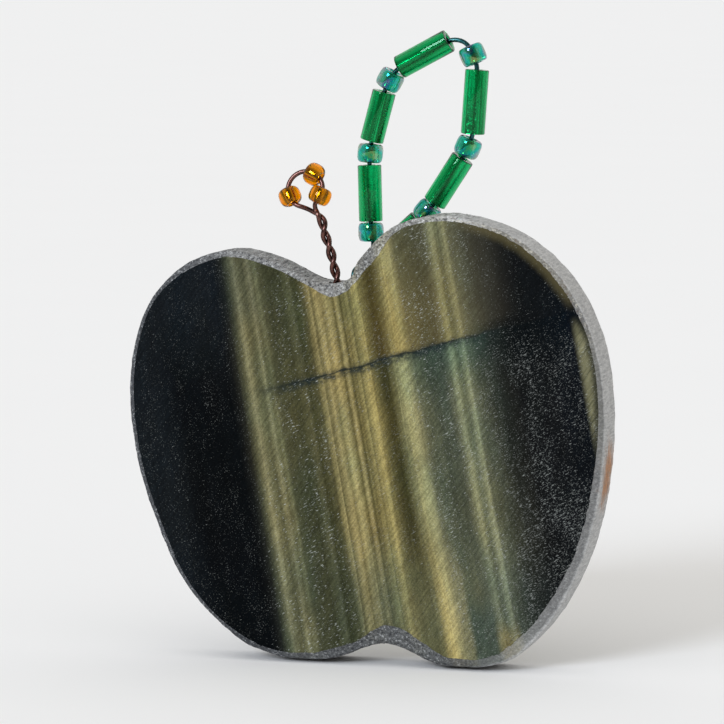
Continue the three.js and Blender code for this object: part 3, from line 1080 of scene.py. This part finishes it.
@dataclass
class StoneSlab:
    """The flat apple cut from banded stone: polished face, ground bevel and wall, two drilled holes."""

    node: str = "apple_slab"
    slot: str = "banded_stone"
    cements: tuple[str, ...] = ("stem_cement", "leaf_cement")
    bevel_depth: float = 0.6
    middle: Edge = (0.0, 22.0)
    near: float = 0.02
    slack: int = 8
    steps_between: int = 6
    corner: float = 0.13
    corner_steps: tuple[float, ...] = (0.0, 1 / 3, 2 / 3, 1.0)
    face_insets: tuple[float, ...] = (1.6, 0.9, 0.35)
    back_insets: tuple[float, ...] = (0.35, 1.2)
    bevel_shares: tuple[float, ...] = (0.25, 0.5, 0.75)
    wall_rows: int = 12
    weld: float = 0.0005
    grain: float = 0.055
    grain_scale: float = 0.7
    grain_middle: float = 0.6
    plain_foot: float = 0.25
    chip: float = 0.09
    chip_scale: float = 1.9
    least_chip: float = 0.3
    crumbly_from: Edge = (10.0, 33.0)
    crumbly_reach: float = 4.0
    foot_relief: float = 0.42
    relief_height: float = 1.6
    relief_from: float = -1.0
    relief_reach: float = 2.9
    hole_clearance: float = 0.05
    hole_below_cement: float = 1.3
    hole_above_cement: float = 4.0
    hole_sides: int = 40
    sliver: float = 0.001
    wall_margin: float = 0.1
    face_margin: float = 0.03
    smooth_under: float = 40.0
    finish: BandedStone = field(default_factory=BandedStone)

    def build(self) -> None:
        """Builds, roughens, drills and dresses the slab."""
        skin, rough = self.rows()
        piece = self.wrapped_skin(skin)
        self.roughen(piece, skin, rough)
        self.relieve_feet(piece)
        self.drill(piece)
        self.mend(piece)
        self.mark_rim(piece, skin[len(self.face_insets)])
        self.dress(piece)
        smooth(piece, self.smooth_under)
        hand_over(piece, BODY, self.slot, self.node)

    def ring(self, points: np.ndarray, level: float) -> np.ndarray:
        """Reads one ring of the CAD slab.

        Args:
            points: The CAD slab's vertices.
            level: How far back the ring lies.

        Returns:
            The ring's places across and up, in order round the slab.
        """
        flat = points[np.abs(points[:, 1] - level) < self.near][:, (0, 2)]
        turn = np.arctan2(flat[:, 1] - self.middle[1], flat[:, 0] - self.middle[0])
        flat = flat[np.argsort(turn)]
        gap = np.linalg.norm(flat - np.roll(flat, 1, axis=0), axis=1)
        return flat[gap > self.near]

    def line_up(self, ring: np.ndarray, model: np.ndarray) -> np.ndarray:
        """Turns a ring's start so that its points lie beside another ring's."""
        turned = [np.roll(ring, shift, axis=0) for shift in range(-self.slack, self.slack + 1)]
        return min(turned, key=lambda rolled: np.sum((rolled - model) ** 2))

    def finer(self, ring: np.ndarray, level: float) -> np.ndarray:
        """Runs a smooth closed curve through a ring and sets it at its level.

        Args:
            ring: Places across and up.
            level: How far back the ring lies.

        Returns:
            Finer places in three directions.
        """
        one, two, three, four = (np.roll(ring, shift, axis=0) for shift in (1, 0, -1, -2))
        parts = []
        for step in range(self.steps_between):
            t = step / self.steps_between
            first = 2 * two + (three - one) * t
            second = (2 * one - 5 * two + 4 * three - four) * t ** 2
            third = (3 * two - one - 3 * three + four) * t ** 3
            parts.append(0.5 * (first + second + third))
        flat = np.stack(parts, axis=1).reshape(-1, 2)
        return np.column_stack((flat[:, 0], np.full(len(flat), level), flat[:, 1]))

    def inward(self, ring: np.ndarray) -> np.ndarray:
        """Finds the way into the slab all round it.

        Args:
            ring: A fine ring.

        Returns:
            The direction at each point.
        """
        along = np.roll(ring, -1, axis=0) - np.roll(ring, 1, axis=0)
        across = np.column_stack((-along[:, 2], np.zeros(len(ring)), along[:, 0]))
        across /= np.linalg.norm(across, axis=1)[:, None]
        centre = np.array((self.middle[0], 0.0, self.middle[1]))
        return across if np.sum(across * (centre - ring)) > 0 else -across

    def rounded(self, before: np.ndarray, here: np.ndarray, after: np.ndarray) -> list[np.ndarray]:
        """Rounds the ridge where two surfaces meet.

        Args:
            before: Ring on one side.
            here: Ring on the ridge.
            after: Ring on the other side.

        Returns:
            Four rings that turn the corner.
        """
        start = before - here
        end = after - here
        start = here + start / np.linalg.norm(start, axis=1)[:, None] * self.corner
        end = here + end / np.linalg.norm(end, axis=1)[:, None] * self.corner
        return [start * (1 - t) ** 2 + here * 2 * t * (1 - t) + end * t ** 2 for t in self.corner_steps]

    def chips(self, ring: np.ndarray) -> np.ndarray:
        """Nibbles the face's edge, most at the upper right.

        Args:
            ring: The edge.

        Returns:
            How far in each point goes.
        """
        shares = np.clip((ring[:, (0, 2)] - self.crumbly_from) / self.crumbly_reach, 0.0, 1.0).prod(axis=1)
        depths = []
        for (x, y, z), crumbly in zip(ring, shares):
            bite = noise.fractal(Vector((x * self.chip_scale, y, z * self.chip_scale)), 0.8, 2.0, 4)
            depths.append(self.chip * (self.least_chip + crumbly) * max(bite, -self.least_chip))
        return np.array(depths)

    def rows(self) -> tuple[np.ndarray, list[bool]]:
        """Lays out the slab's skin as rings from the middle of the face round to the back.

        Returns:
            The rings, and whether each lies on the rough ground part.
        """
        points = points_of(frame["nodes"][self.node].data)
        points = np.unique(np.round(points, 3), axis=0)
        front = float(points[:, 1].min())
        back = float(points[:, 1].max())
        levels = (front, front + self.bevel_depth, back - self.bevel_depth, back)
        rings = [self.ring(points, level) for level in levels]
        rings = [self.line_up(ring, rings[1]) for ring in rings]
        face, rim, heel, rear = (self.finer(ring, level) for ring, level in zip(rings, levels))
        inward = self.inward(rim)
        face = face + inward * self.chips(face)[:, None]
        ridge = self.rounded(face + inward, face, rim)
        turn = self.rounded(face, rim, heel)
        foot = self.rounded(rim, heel, rear)
        last = self.rounded(heel, rear, rear + inward)
        bevel = [ridge[-1] + (turn[0] - ridge[-1]) * share for share in self.bevel_shares]
        steps = np.arange(1, self.wall_rows + 1)
        wall = [turn[-1] + (foot[0] - turn[-1]) * step / (self.wall_rows + 1) for step in steps]
        slope = [(foot[-1] + last[0]) / 2]
        face_rows = [face + inward * inset for inset in self.face_insets] + ridge[:2]
        ground = ridge[2:] + bevel + turn + wall + foot + slope + last[:2]
        rear_rows = last[2:] + [rear + inward * inset for inset in self.back_insets]
        rough = [False] * len(face_rows) + [True] * len(ground) + [False] * len(rear_rows)
        return np.array(face_rows + ground + rear_rows), rough

    def wrapped_skin(self, skin: np.ndarray) -> Piece:
        """Wraps a fine grid round the slab and closes it front and back.

        Args:
            skin: The rings of the skin.

        Returns:
            The closed skin.
        """
        spans = len(skin) - 1
        stations = len(skin[0])
        deselect_all()
        bpy.ops.mesh.primitive_grid_add(x_subdivisions=stations, y_subdivisions=spans, size=2.0)
        piece = fresh("stone_slab")
        flat = points_of(piece.data) * MM
        column = np.rint((flat[:, 0] + 1) / 2 * stations).astype(int) % stations
        row = np.rint((flat[:, 1] + 1) / 2 * spans).astype(int)
        set_points(piece.data, skin[row, column])
        with editing(piece):
            bpy.ops.mesh.remove_doubles(threshold=self.weld * MM)
        for front in (True, False):
            self.close(piece, front)
        with editing(piece):
            bpy.ops.mesh.normals_make_consistent(inside=False)
        return piece

    def close(self, piece: Piece, front: bool) -> None:
        """Fills the open border at the front or at the back with one face.

        Args:
            piece: The open skin.
            front: Whether the front border is filled, or the back one.
        """
        mesh = piece.data
        ends = np.empty(len(mesh.edges) * 2, dtype=np.int32)
        mesh.edges.foreach_get("vertices", ends)
        sides = np.empty(len(mesh.loops), dtype=np.int32)
        mesh.loops.foreach_get("edge_index", sides)
        border = np.bincount(sides, minlength=len(mesh.edges)) == 1
        near = points_of(mesh)[ends.reshape(-1, 2)[:, 0], 1] < 0
        bpy.ops.object.mode_set(mode="EDIT")
        bpy.ops.mesh.select_mode(type="EDGE")
        bpy.ops.mesh.select_all(action="DESELECT")
        bpy.ops.object.mode_set(mode="OBJECT")
        mesh.edges.foreach_set("select", border & (near == front))
        bpy.ops.object.mode_set(mode="EDIT")
        bpy.ops.mesh.edge_face_add()
        bpy.ops.object.mode_set(mode="OBJECT")

    def roughen(self, piece: Piece, skin: np.ndarray, rough: list[bool]) -> None:
        """Gives the ground bevel and wall their uneven surface.

        Args:
            piece: The slab.
            skin: Its rings.
            rough: Whether each ring lies on the ground part.
        """
        points = points_of(piece.data)
        normals = triples(piece.data.vertices, "normal")
        ground = {tuple(np.round(point, 3)) for ring in skin[rough] for point in ring}
        foot = float(skin[:, :, 2].min()) + self.plain_foot
        for index, place in enumerate(points):
            if place[2] < foot or tuple(np.round(place, 3)) not in ground:
                continue
            lump = noise.fractal(Vector(place) * self.grain_scale, 0.7, 2.0, 5)
            points[index] = place + normals[index] * (lump - self.grain_middle) * self.grain
        set_points(piece.data, points)

    def relieve_feet(self, piece: Piece) -> None:
        """Lifts the front edge of the feet a little, so that the slab bears on the back of them.

        Args:
            piece: The slab.
        """
        points = points_of(piece.data)
        forward = np.clip((self.relief_from - points[:, 1]) / self.relief_reach, 0.0, 1.0)
        near_floor = np.clip(1.0 - points[:, 2] / self.relief_height, 0.0, 1.0)
        points[:, 2] += self.foot_relief * forward * near_floor
        set_points(piece.data, points)

    def drill(self, piece: Piece) -> None:
        """Drills the two blind holes in the floor of the upper notch.

        Args:
            piece: The slab.
        """
        for cement in self.cements:
            low, high = (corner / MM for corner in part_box(cement))
            centre = (low + high) / 2
            radius = (high.x - low.x) / 2 + self.hole_clearance
            bottom = low.z - self.hole_below_cement
            top = high.z + self.hole_above_cement
            deselect_all()
            bpy.ops.mesh.primitive_cylinder_add(
                vertices=self.hole_sides,
                radius=radius * MM,
                depth=(top - bottom) * MM,
                location=(centre.x * MM, centre.y * MM, (top + bottom) / 2 * MM),
            )
            drill = fresh("drill")
            apply_modifier(piece, "BOOLEAN", operation="DIFFERENCE", solver="EXACT", object=drill)
            bpy.data.objects.remove(drill)

    def mend(self, piece: Piece) -> None:
        """Cuts the many-sided faces round the drilled holes into plain triangles.

        Args:
            piece: The slab.
        """
        corners = np.empty(len(piece.data.polygons), dtype=np.int32)
        piece.data.polygons.foreach_get("loop_total", corners)
        depths = face_middles(piece.data)[:, 1]
        on_wall = (depths > depths.min() + self.wall_margin) & (depths < depths.max() - self.wall_margin)
        with editing(piece, (corners > 4) & on_wall):
            bpy.ops.mesh.quads_convert_to_tris(quad_method="BEAUTY", ngon_method="BEAUTY")
            bpy.ops.mesh.select_all(action="SELECT")
            bpy.ops.mesh.dissolve_degenerate(threshold=self.sliver * MM)

    def mark_rim(self, piece: Piece, edge: np.ndarray) -> None:
        """Stores on each vertex of the face how far it lies from the face's edge.

        Args:
            piece: The slab.
            edge: The ring at the face's edge.
        """
        points = points_of(piece.data)
        on_face = points[:, 1] < points[:, 1].min() + self.near
        away = np.zeros(len(points))
        flat = points[on_face][:, (0, 2)]
        away[on_face] = [np.min(np.linalg.norm(edge[:, (0, 2)] - spot, axis=1)) for spot in flat]
        piece.data.attributes.new("rim", "FLOAT", "POINT").data.foreach_set("value", away)

    def dress(self, piece: Piece) -> None:
        """Gives the face, the ground edge and the back their materials.

        Args:
            piece: The slab.
        """
        bands = StonePattern(self.finish).build()
        mesh = piece.data
        mesh.materials.clear()
        for made in (self.finish.polished(bands), self.finish.ground(bands), self.finish.honed(bands)):
            mesh.materials.append(made)
        depths = face_middles(mesh)[:, 1]
        sides = np.full(len(depths), StoneSide.GROUND.value, dtype=np.int32)
        sides[depths < depths.min() + self.face_margin] = StoneSide.POLISHED.value
        sides[depths > depths.max() - self.face_margin] = StoneSide.HONED.value
        mesh.polygons.foreach_set("material_index", sides)
        mesh.update()


@dataclass
class FormedWire:
    """A wire bent to shape, taken from its CAD solid and made truly round."""

    node: str
    piece_name: str
    slot: str
    finish: BareWire
    weld: float = 0.002
    pairing: float = math.radians(60)
    wire_radius: float = 0.25
    flat_sides: int = 8
    rounding: int = 2
    foot_lean: float = 0.0
    lean_heights: tuple[float, float, float, float] = (41.0, 42.4, 43.0, 44.8)

    def build(self) -> None:
        """Builds and dresses the wire."""
        piece = copy_of(frame["nodes"][self.node], self.piece_name)
        piece.data.materials.clear()
        take(piece)
        bpy.ops.mesh.customdata_custom_splitnormals_clear()
        # Subdivision draws a flat-sided wire in to this share of its radius.
        keeps = (4 + 2 * math.cos(2 * math.pi / self.flat_sides)) / 6
        with editing(piece):
            bpy.ops.mesh.remove_doubles(threshold=self.weld * MM)
            bpy.ops.mesh.tris_convert_to_quads(face_threshold=self.pairing, shape_threshold=self.pairing)
        with editing(piece):
            bpy.ops.transform.shrink_fatten(value=self.wire_radius * (1 / keeps - 1) * MM)
        apply_modifier(piece, "SUBSURF", levels=self.rounding, render_levels=self.rounding)
        points = points_of(piece.data)
        share = np.interp(points[:, 2], self.lean_heights, (0.0, 1.0, 1.0, 0.0))
        points[:, 0] += self.foot_lean * share * share * (3.0 - 2.0 * share)
        set_points(piece.data, points)
        smooth(piece)
        piece.data.materials.append(self.finish.material())
        hand_over(piece, BODY, self.slot, self.node)


@dataclass
class CementPlug:
    """Cement filling a hole round a wire, its top drawn down in the middle."""

    node: str
    piece_name: str
    sides: int = 40
    lip: float = 0.14
    dishes: tuple[float, ...] = (0.12, 0.072)
    slot: str = "cement"
    smooth_under: float = 50.0

    def build(self, material: Material) -> None:
        """Builds and dresses the plug.

        Args:
            material: The cement's material.
        """
        low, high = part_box(self.node)
        centre = (low + high) / 2
        deselect_all()
        bpy.ops.mesh.primitive_cylinder_add(
            vertices=self.sides, radius=(high.x - low.x) / 2, depth=high.z - low.z, location=centre
        )
        piece = fresh(self.piece_name)
        bpy.ops.object.transform_apply(location=True, rotation=True, scale=True)
        for dish in self.dishes:
            with editing(piece, cap(piece.data, 1.0, np.array(centre)[:2] / MM)):
                bpy.ops.mesh.inset(thickness=self.lip * MM)
                bpy.ops.transform.translate(value=(0.0, 0.0, -dish * MM))
        smooth(piece, self.smooth_under)
        piece.data.materials.append(material)
        hand_over(piece, BODY, self.slot, self.node)


@dataclass(frozen=True)
class BeadPlace:
    """Where a bead sits, read from its CAD solid and its joint, in millimetres."""

    centre: Vector
    axis: Vector
    length: float

    @classmethod
    def read(cls, node: str, off_axis: float = 0.5) -> "BeadPlace":
        """Reads a bead's place.

        Args:
            node: The CAD node and body of the bead.
            off_axis: How far from its joint a bead lies that runs round a ring.

        Returns:
            The place.
        """
        points = points_of(frame["nodes"][node].data)
        points = np.unique(np.round(points, 3), axis=0)
        joint = next(joint for joint in frame["joints"] if joint["child"] == node)
        pivot = Vector(joint["pos_m"]) / MM
        axis = Vector(joint["axis"]).normalized()
        centre = Vector((points.min(axis=0) + points.max(axis=0)) / 2)
        if (centre - pivot).length > off_axis:
            axis = axis.cross(centre - pivot).normalized()
        else:
            centre = pivot
        along = (points - np.array(centre)) @ np.array(axis)
        return cls(centre, axis, float(along.max() - along.min()))

    def matrix(self, spin: float, stretch: float = 1.0) -> Matrix:
        """Gives the matrix that carries a bead standing at the origin to its place.

        Args:
            spin: Turn about its bore, in degrees.
            stretch: How much longer the bead is than its model.

        Returns:
            The matrix, in metres.
        """
        turn = Vector((0.0, 0.0, 1.0)).rotation_difference(self.axis).to_matrix().to_4x4()
        own = Matrix.Rotation(math.radians(spin), 4, "Z") @ Matrix.Diagonal((1.0, 1.0, stretch, 1.0))
        return Matrix.Translation(self.centre * MM) @ turn @ own


def soft_square(angles: np.ndarray, half: float, power: float) -> np.ndarray:
    """Gives the distance from the middle to a rounded square, or to a circle where the power is 2."""
    return half / (np.abs(np.cos(angles)) ** power + np.abs(np.sin(angles)) ** power) ** (1.0 / power)


@dataclass
class UprightTube:
    """A tube standing at the origin, with the squareness of its outside and of its bore."""

    outer: float
    inner: float
    length: float
    outside: float = ROUND
    inside: float = ROUND
    sides: int = 64
    bore_share: float = 0.98

    def model(self, name: str) -> Piece:
        """Models the tube.

        Args:
            name: Its name.

        Returns:
            The tube.
        """
        deselect_all()
        size = {"radius": self.outer * MM, "depth": self.length * MM}
        bpy.ops.mesh.primitive_cylinder_add(vertices=self.sides, **size)
        piece = fresh(name)
        for end in (1.0, -1.0):
            with editing(piece, cap(piece.data, end, np.zeros(2))):
                bpy.ops.mesh.inset(thickness=(self.outer - self.inner) / 2 * MM)
            with editing(piece, cap(piece.data, end, np.zeros(2))):
                bpy.ops.mesh.delete(type="ONLY_FACE")
        points = points_of(piece.data)
        angles = np.arctan2(points[:, 1], points[:, 0])
        reach = np.hypot(points[:, 0], points[:, 1])
        bore = reach < self.outer * self.bore_share
        reach[bore] = soft_square(angles[bore], self.inner, self.inside)
        reach[~bore] = soft_square(angles[~bore], self.outer, self.outside)
        points[:, 0] = reach * np.cos(angles)
        points[:, 1] = reach * np.sin(angles)
        set_points(piece.data, points)
        with editing(piece):
            bpy.ops.mesh.select_mode(type="EDGE")
            bpy.ops.mesh.select_all(action="DESELECT")
            bpy.ops.mesh.select_non_manifold(
                use_wire=False, use_multi_face=False, use_non_contiguous=False, use_verts=False
            )
            bpy.ops.mesh.bridge_edge_loops()
            bpy.ops.mesh.select_all(action="SELECT")
            bpy.ops.mesh.normals_make_consistent(inside=False)
        return piece


@dataclass
class BoreLining:
    """Silvering on the wall of a bead's bore: a thin tube set just inside the glass."""

    length: float
    squareness: float = ROUND
    share: float = 0.97
    bore: float = 1.05
    wall: float = 0.07
    embed: float = 0.012
    smooth_under: float = 40.0

    def model(self, name: str) -> Piece:
        """Models the silvering at the origin, standing upright.

        Args:
            name: The model's name.

        Returns:
            The silvering.
        """
        half = self.bore / 2 + self.embed
        tube = UprightTube(half, half - self.wall, self.length * self.share, self.squareness, self.squareness)
        piece = tube.model(name)
        smooth(piece, self.smooth_under)
        return piece


@dataclass
class RoundBead:
    """A short glass seed bead: a rounded ring cut from tube and fire-polished."""

    diameter: float
    length: float
    bore: float = 1.05
    fullness: float = 2.8
    bore_straightness: float = 5.0
    crest: float = 0.5
    turns: int = 56
    section: int = 36

    def model(self, name: str) -> Piece:
        """Models one bead at the origin with its bore upright.

        Args:
            name: The model's name.

        Returns:
            The bead.
        """
        wall = (self.diameter - self.bore) / 2
        middle = self.bore / 2 + wall * self.crest
        deselect_all()
        bpy.ops.mesh.primitive_torus_add(
            major_segments=self.turns,
            minor_segments=self.section,
            major_radius=middle * MM,
            minor_radius=wall * self.crest / 2 * MM,
        )
        piece = fresh(name)
        points = points_of(piece.data)
        turn = np.arctan2(points[:, 1], points[:, 0])
        out = np.hypot(points[:, 0], points[:, 1]) - middle
        angle = np.arctan2(points[:, 2], out)
        power = 2.0 / np.where(out < 0, self.bore_straightness, self.fullness)
        reach = wall * np.where(out < 0, self.crest, 1.0 - self.crest)
        out = np.sign(np.cos(angle)) * np.abs(np.cos(angle)) ** power * reach + middle
        height = np.sign(np.sin(angle)) * np.abs(np.sin(angle)) ** power * self.length / 2
        set_points(piece.data, np.column_stack((out * np.cos(turn), out * np.sin(turn), height)))
        smooth(piece)
        return piece


@dataclass
class TubeBead:
    """A long glass bugle: a cut length of tube with a square bore."""

    diameter: float = 2.5
    length: float = 6.0
    bore: float = 1.05
    bore_squareness: float = 7.0
    rim: float = 0.12
    rim_steps: int = 3
    rim_over: float = math.radians(50)
    smooth_under: float = 40.0

    def model(self, name: str) -> Piece:
        """Models the glass at the origin with its bore upright and its cut rims softened.

        Args:
            name: The model's name.

        Returns:
            The bead.
        """
        tube = UprightTube(self.diameter / 2, self.bore / 2, self.length, inside=self.bore_squareness)
        piece = tube.model(name)
        rims = {"limit_method": "ANGLE", "angle_limit": self.rim_over}
        apply_modifier(piece, "BEVEL", width=self.rim * MM, segments=self.rim_steps, **rims)
        smooth(piece, self.smooth_under)
        return piece


@dataclass
class Stem:
    """The twisted copper stem with its ring and the three amber beads threaded on it."""

    beads: tuple[str, ...] = ("stem_bead_left", "stem_bead_top", "stem_bead_right")
    turns: tuple[float, ...] = (0.0, 0.0, 0.0)
    silvered_share: float = 0.7
    shape: RoundBead = field(default_factory=lambda: RoundBead(2.35, 1.75, fullness=2.4, crest=0.1))
    copper: BareWire = BareWire("dark_copper", (50, 34, 31), (128, 84, 74), (216, 170, 154), 0.28)
    amber: TintedGlass = TintedGlass(
        "amber_glass", (1.0, 0.37, 0.003), (0.96, 0.25, 0.001), (1.0, 0.6, 0.25)
    )

    def build(self) -> None:
        """Builds the wire and its beads."""
        FormedWire("stem_wire", "stem_copper", "copper_wire", self.copper).build()
        glass = self.shape.model("amber_model")
        glass.data.materials.append(self.amber.material())
        silver = BoreLining(self.shape.length, share=self.silvered_share).model("amber_lining_model")
        silver.data.materials.append(SilverLining("stem_silvering").material())
        thread(self.beads, "amber_glass", glass, silver, self.shape.length, self.turns)


@dataclass
class Leaf:
    """The teal wire loop threaded with green bugles and iridescent seed beads."""

    seeds: tuple[str, ...] = tuple(f"leaf_seed_{number}" for number in range(1, 7))
    bugles: tuple[str, ...] = tuple(f"leaf_bugle_{number}" for number in range(1, 7))
    seed_shape: RoundBead = field(default_factory=lambda: RoundBead(2.7, 1.95))
    bugle_shape: TubeBead = field(default_factory=TubeBead)
    seed_turns: tuple[float, ...] = (0.0, 40.0, 80.0, 120.0, 160.0, 200.0)
    bugle_turns: tuple[float, ...] = (12.0, 58.0, 33.0, 81.0, 20.0, 67.0)
    foot_lean: float = 0.5
    teal: BareWire = BareWire("teal_coat", (14, 46, 50), (34, 96, 98), (130, 190, 190), 0.24)
    green: TintedGlass = TintedGlass(
        "green_glass", (0.0005, 0.6, 0.19), (0.0002, 0.31, 0.085), (0.3, 0.7, 0.45)
    )
    rainbow: TintedGlass = TintedGlass(
        "rainbow_glass",
        (0.03, 0.56, 0.26),
        (0.004, 0.26, 0.1),
        # Painted sheen patches in the seeds' colour, standing in for the coating's glints.
        painted_sheen_colours=((6, 110, 60), (90, 160, 110), (10, 130, 110), (30, 120, 170), (150, 120, 180)),
        painted_sheen_share=0.36,
        film_thickness=300.0,
        film_swing=32.0,
        film_index=2.1,
        coat=0.25,
    )

    def build(self) -> None:
        """Builds the wire and its beads."""
        FormedWire("leaf_wire", "leaf_teal_wire", "teal_wire", self.teal, foot_lean=self.foot_lean).build()
        glass = self.seed_shape.model("seed_model")
        glass.data.materials.append(self.rainbow.material())
        thread(self.seeds, "rainbow_glass", glass, None, self.seed_shape.length, self.seed_turns)
        glass = self.bugle_shape.model("bugle_model")
        glass.data.materials.append(self.green.material())
        lining = BoreLining(self.bugle_shape.length, self.bugle_shape.bore_squareness)
        silver = lining.model("bugle_lining_model")
        silver.data.materials.append(SilverLining("leaf_silvering").material())
        thread(self.bugles, "green_glass", glass, silver, self.bugle_shape.length, self.bugle_turns)


def thread(
    beads: Sequence[str],
    slot: str,
    glass: Piece,
    silver: Piece | None,
    length: float,
    turns: Sequence[float],
) -> None:
    """Copies one modelled bead and its silvering to each place on the wire, and removes the models.

    Args:
        beads: The CAD nodes and bodies of the beads.
        slot: The record's material slot of the glass.
        glass: The modelled glass.
        silver: The modelled silvering, or nothing where the bore is bare.
        length: The modelled bead's length.
        turns: How far each bead is turned about its bore, in degrees.
    """
    models = {"_glass": glass}
    if silver:
        models["_silvering"] = silver
    for model in models.values():
        own_place = model.data.attributes.new("own_place", "FLOAT_VECTOR", "POINT")
        own_place.data.foreach_set("vector", points_of(model.data).ravel())
    for node, turn in zip(beads, turns):
        place = BeadPlace.read(node)
        matrix = place.matrix(turn, place.length / length)
        for ending, model in models.items():
            piece = copy_of(model, node + ending)
            piece.data.transform(matrix)
            hand_over(piece, node, slot, *((node,) if model is glass else ()))
    for model in models.values():
        bpy.data.objects.remove(model)


@dataclass
class Studio:
    """A wide pale floor, a soft dome of light, a key light from the left, and the camera."""

    floor_size: float = 24.0
    floor_cuts: int = 7
    floor_dark: Tint = (0.8756, 0.8756, 0.8756)
    floor_light: Tint = (0.88, 0.88, 0.88)
    floor_roughness: float = 0.6
    seen_sky: float = 0.83
    zenith: float = 0.812
    horizon: float = 0.342
    front_share: float = 1.35
    mirrored_front: float = 0.2
    room_tint: Colour = (1.015, 1.0, 0.972, 1.0)
    key_side: Tint = (-0.3, -0.86, 0.41)
    key_strength: float = 1.62
    key_spread: float = 20.0
    key_tint: Tint = (0.93, 1.0, 1.11)
    azimuth: float = 16.0
    elevation: float = 6.0
    distance: float = 412.0
    target: Tint = (-0.85, -1.5, 31.6)
    sensor: float = 36.0
    lens: float = 196.66
    nearest: float = 0.01

    def build(self) -> None:
        """Builds the floor, the lights and the camera."""
        self.floor()
        self.world()
        self.key_light()
        self.camera()

    def floor(self) -> None:
        """Lays the pale matt floor out to the horizon."""
        deselect_all()
        bpy.ops.mesh.primitive_plane_add(size=self.floor_size)
        piece = fresh("pale_floor")
        with editing(piece):
            bpy.ops.mesh.subdivide(number_cuts=self.floor_cuts)
        material, graph, shader = new_material("pale_floor")
        stops = ((0.3, (*self.floor_dark, 1.0)), (0.7, (*self.floor_light, 1.0)))
        colour = graph.ramp(graph.clouds(graph.place(), 0.02, 3.0), stops)
        finish = {"Base Color": colour, "Roughness": self.floor_roughness, "Specular IOR Level": 0.0}
        graph.fill(shader, finish)
        piece.data.materials.append(material)

    def world(self) -> None:
        """Lights the room from above, less behind the camera, and shows it as pale as the floor."""
        world = bpy.data.worlds.new("studio_room")
        bpy.context.scene.world = world
        world.use_nodes = True
        world.node_tree.nodes.clear()
        graph = Graph(world.node_tree)
        ray = graph.node("ShaderNodeLightPath").outputs
        _, back, height = graph.split(graph.node("ShaderNodeTexCoord").outputs["Generated"])
        soft = graph.fade(height, 0.0, 1.0, self.horizon, self.zenith)
        soft = graph.product(soft, graph.fade(back, -0.6, 0.5, self.front_share, 1.0))
        mirrored = graph.fade(back, -0.7, 0.2, self.mirrored_front, self.seen_sky)
        seen = ray["Is Camera Ray"]
        bent = graph.less(graph.most(ray["Is Glossy Ray"], ray["Is Transmission Ray"]), seen)
        bent = graph.product(graph.most(bent, 0.0), graph.less(mirrored, soft))
        strength = graph.total(soft, bent, graph.product(seen, graph.less(self.seen_sky, soft)))
        room = graph.node("ShaderNodeBackground", self.room_tint, strength)
        graph.node("ShaderNodeOutputWorld", room.outputs[0])

    def key_light(self) -> None:
        """Adds a soft light so far off that it lights the floor evenly."""
        light = bpy.data.lights.new("key_light", "SUN")
        light.energy = self.key_strength
        light.color = self.key_tint
        light.angle = math.radians(self.key_spread)
        lamp = bpy.data.objects.new("key_light", light)
        bpy.context.scene.collection.objects.link(lamp)
        lamp.rotation_euler = Vector(self.key_side).to_track_quat("Z", "Y").to_euler()

    def camera(self) -> None:
        """Sets the camera where the photograph was taken from."""
        turn = math.radians(self.azimuth)
        rise = math.radians(self.elevation)
        back = Vector((math.sin(turn) * math.cos(rise), -math.cos(turn) * math.cos(rise), math.sin(rise)))
        data = bpy.data.cameras.new("photo_camera")
        data.sensor_width = self.sensor
        data.lens = self.lens
        data.clip_start = self.nearest
        camera = bpy.data.objects.new("photo_camera", data)
        bpy.context.scene.collection.objects.link(camera)
        camera.location = (Vector(self.target) + back * self.distance) * MM
        camera.rotation_euler = (-back).to_track_quat("-Z", "Y").to_euler()
        bpy.context.scene.camera = camera


def main() -> None:
    """Builds the ornament piece by piece, then the studio round it."""
    logging.basicConfig(level=logging.INFO, format="%(message)s")
    bpy.context.scene.view_settings.view_transform = "Standard"
    Studio().build()
    StoneSlab().build()
    Stem().build()
    Leaf().build()
    cement = CuredCement().material()
    CementPlug("stem_cement", "stem_cement_plug").build(cement)
    CementPlug("leaf_cement", "leaf_cement_plug").build(cement)


if __name__ == "__main__":
    main()
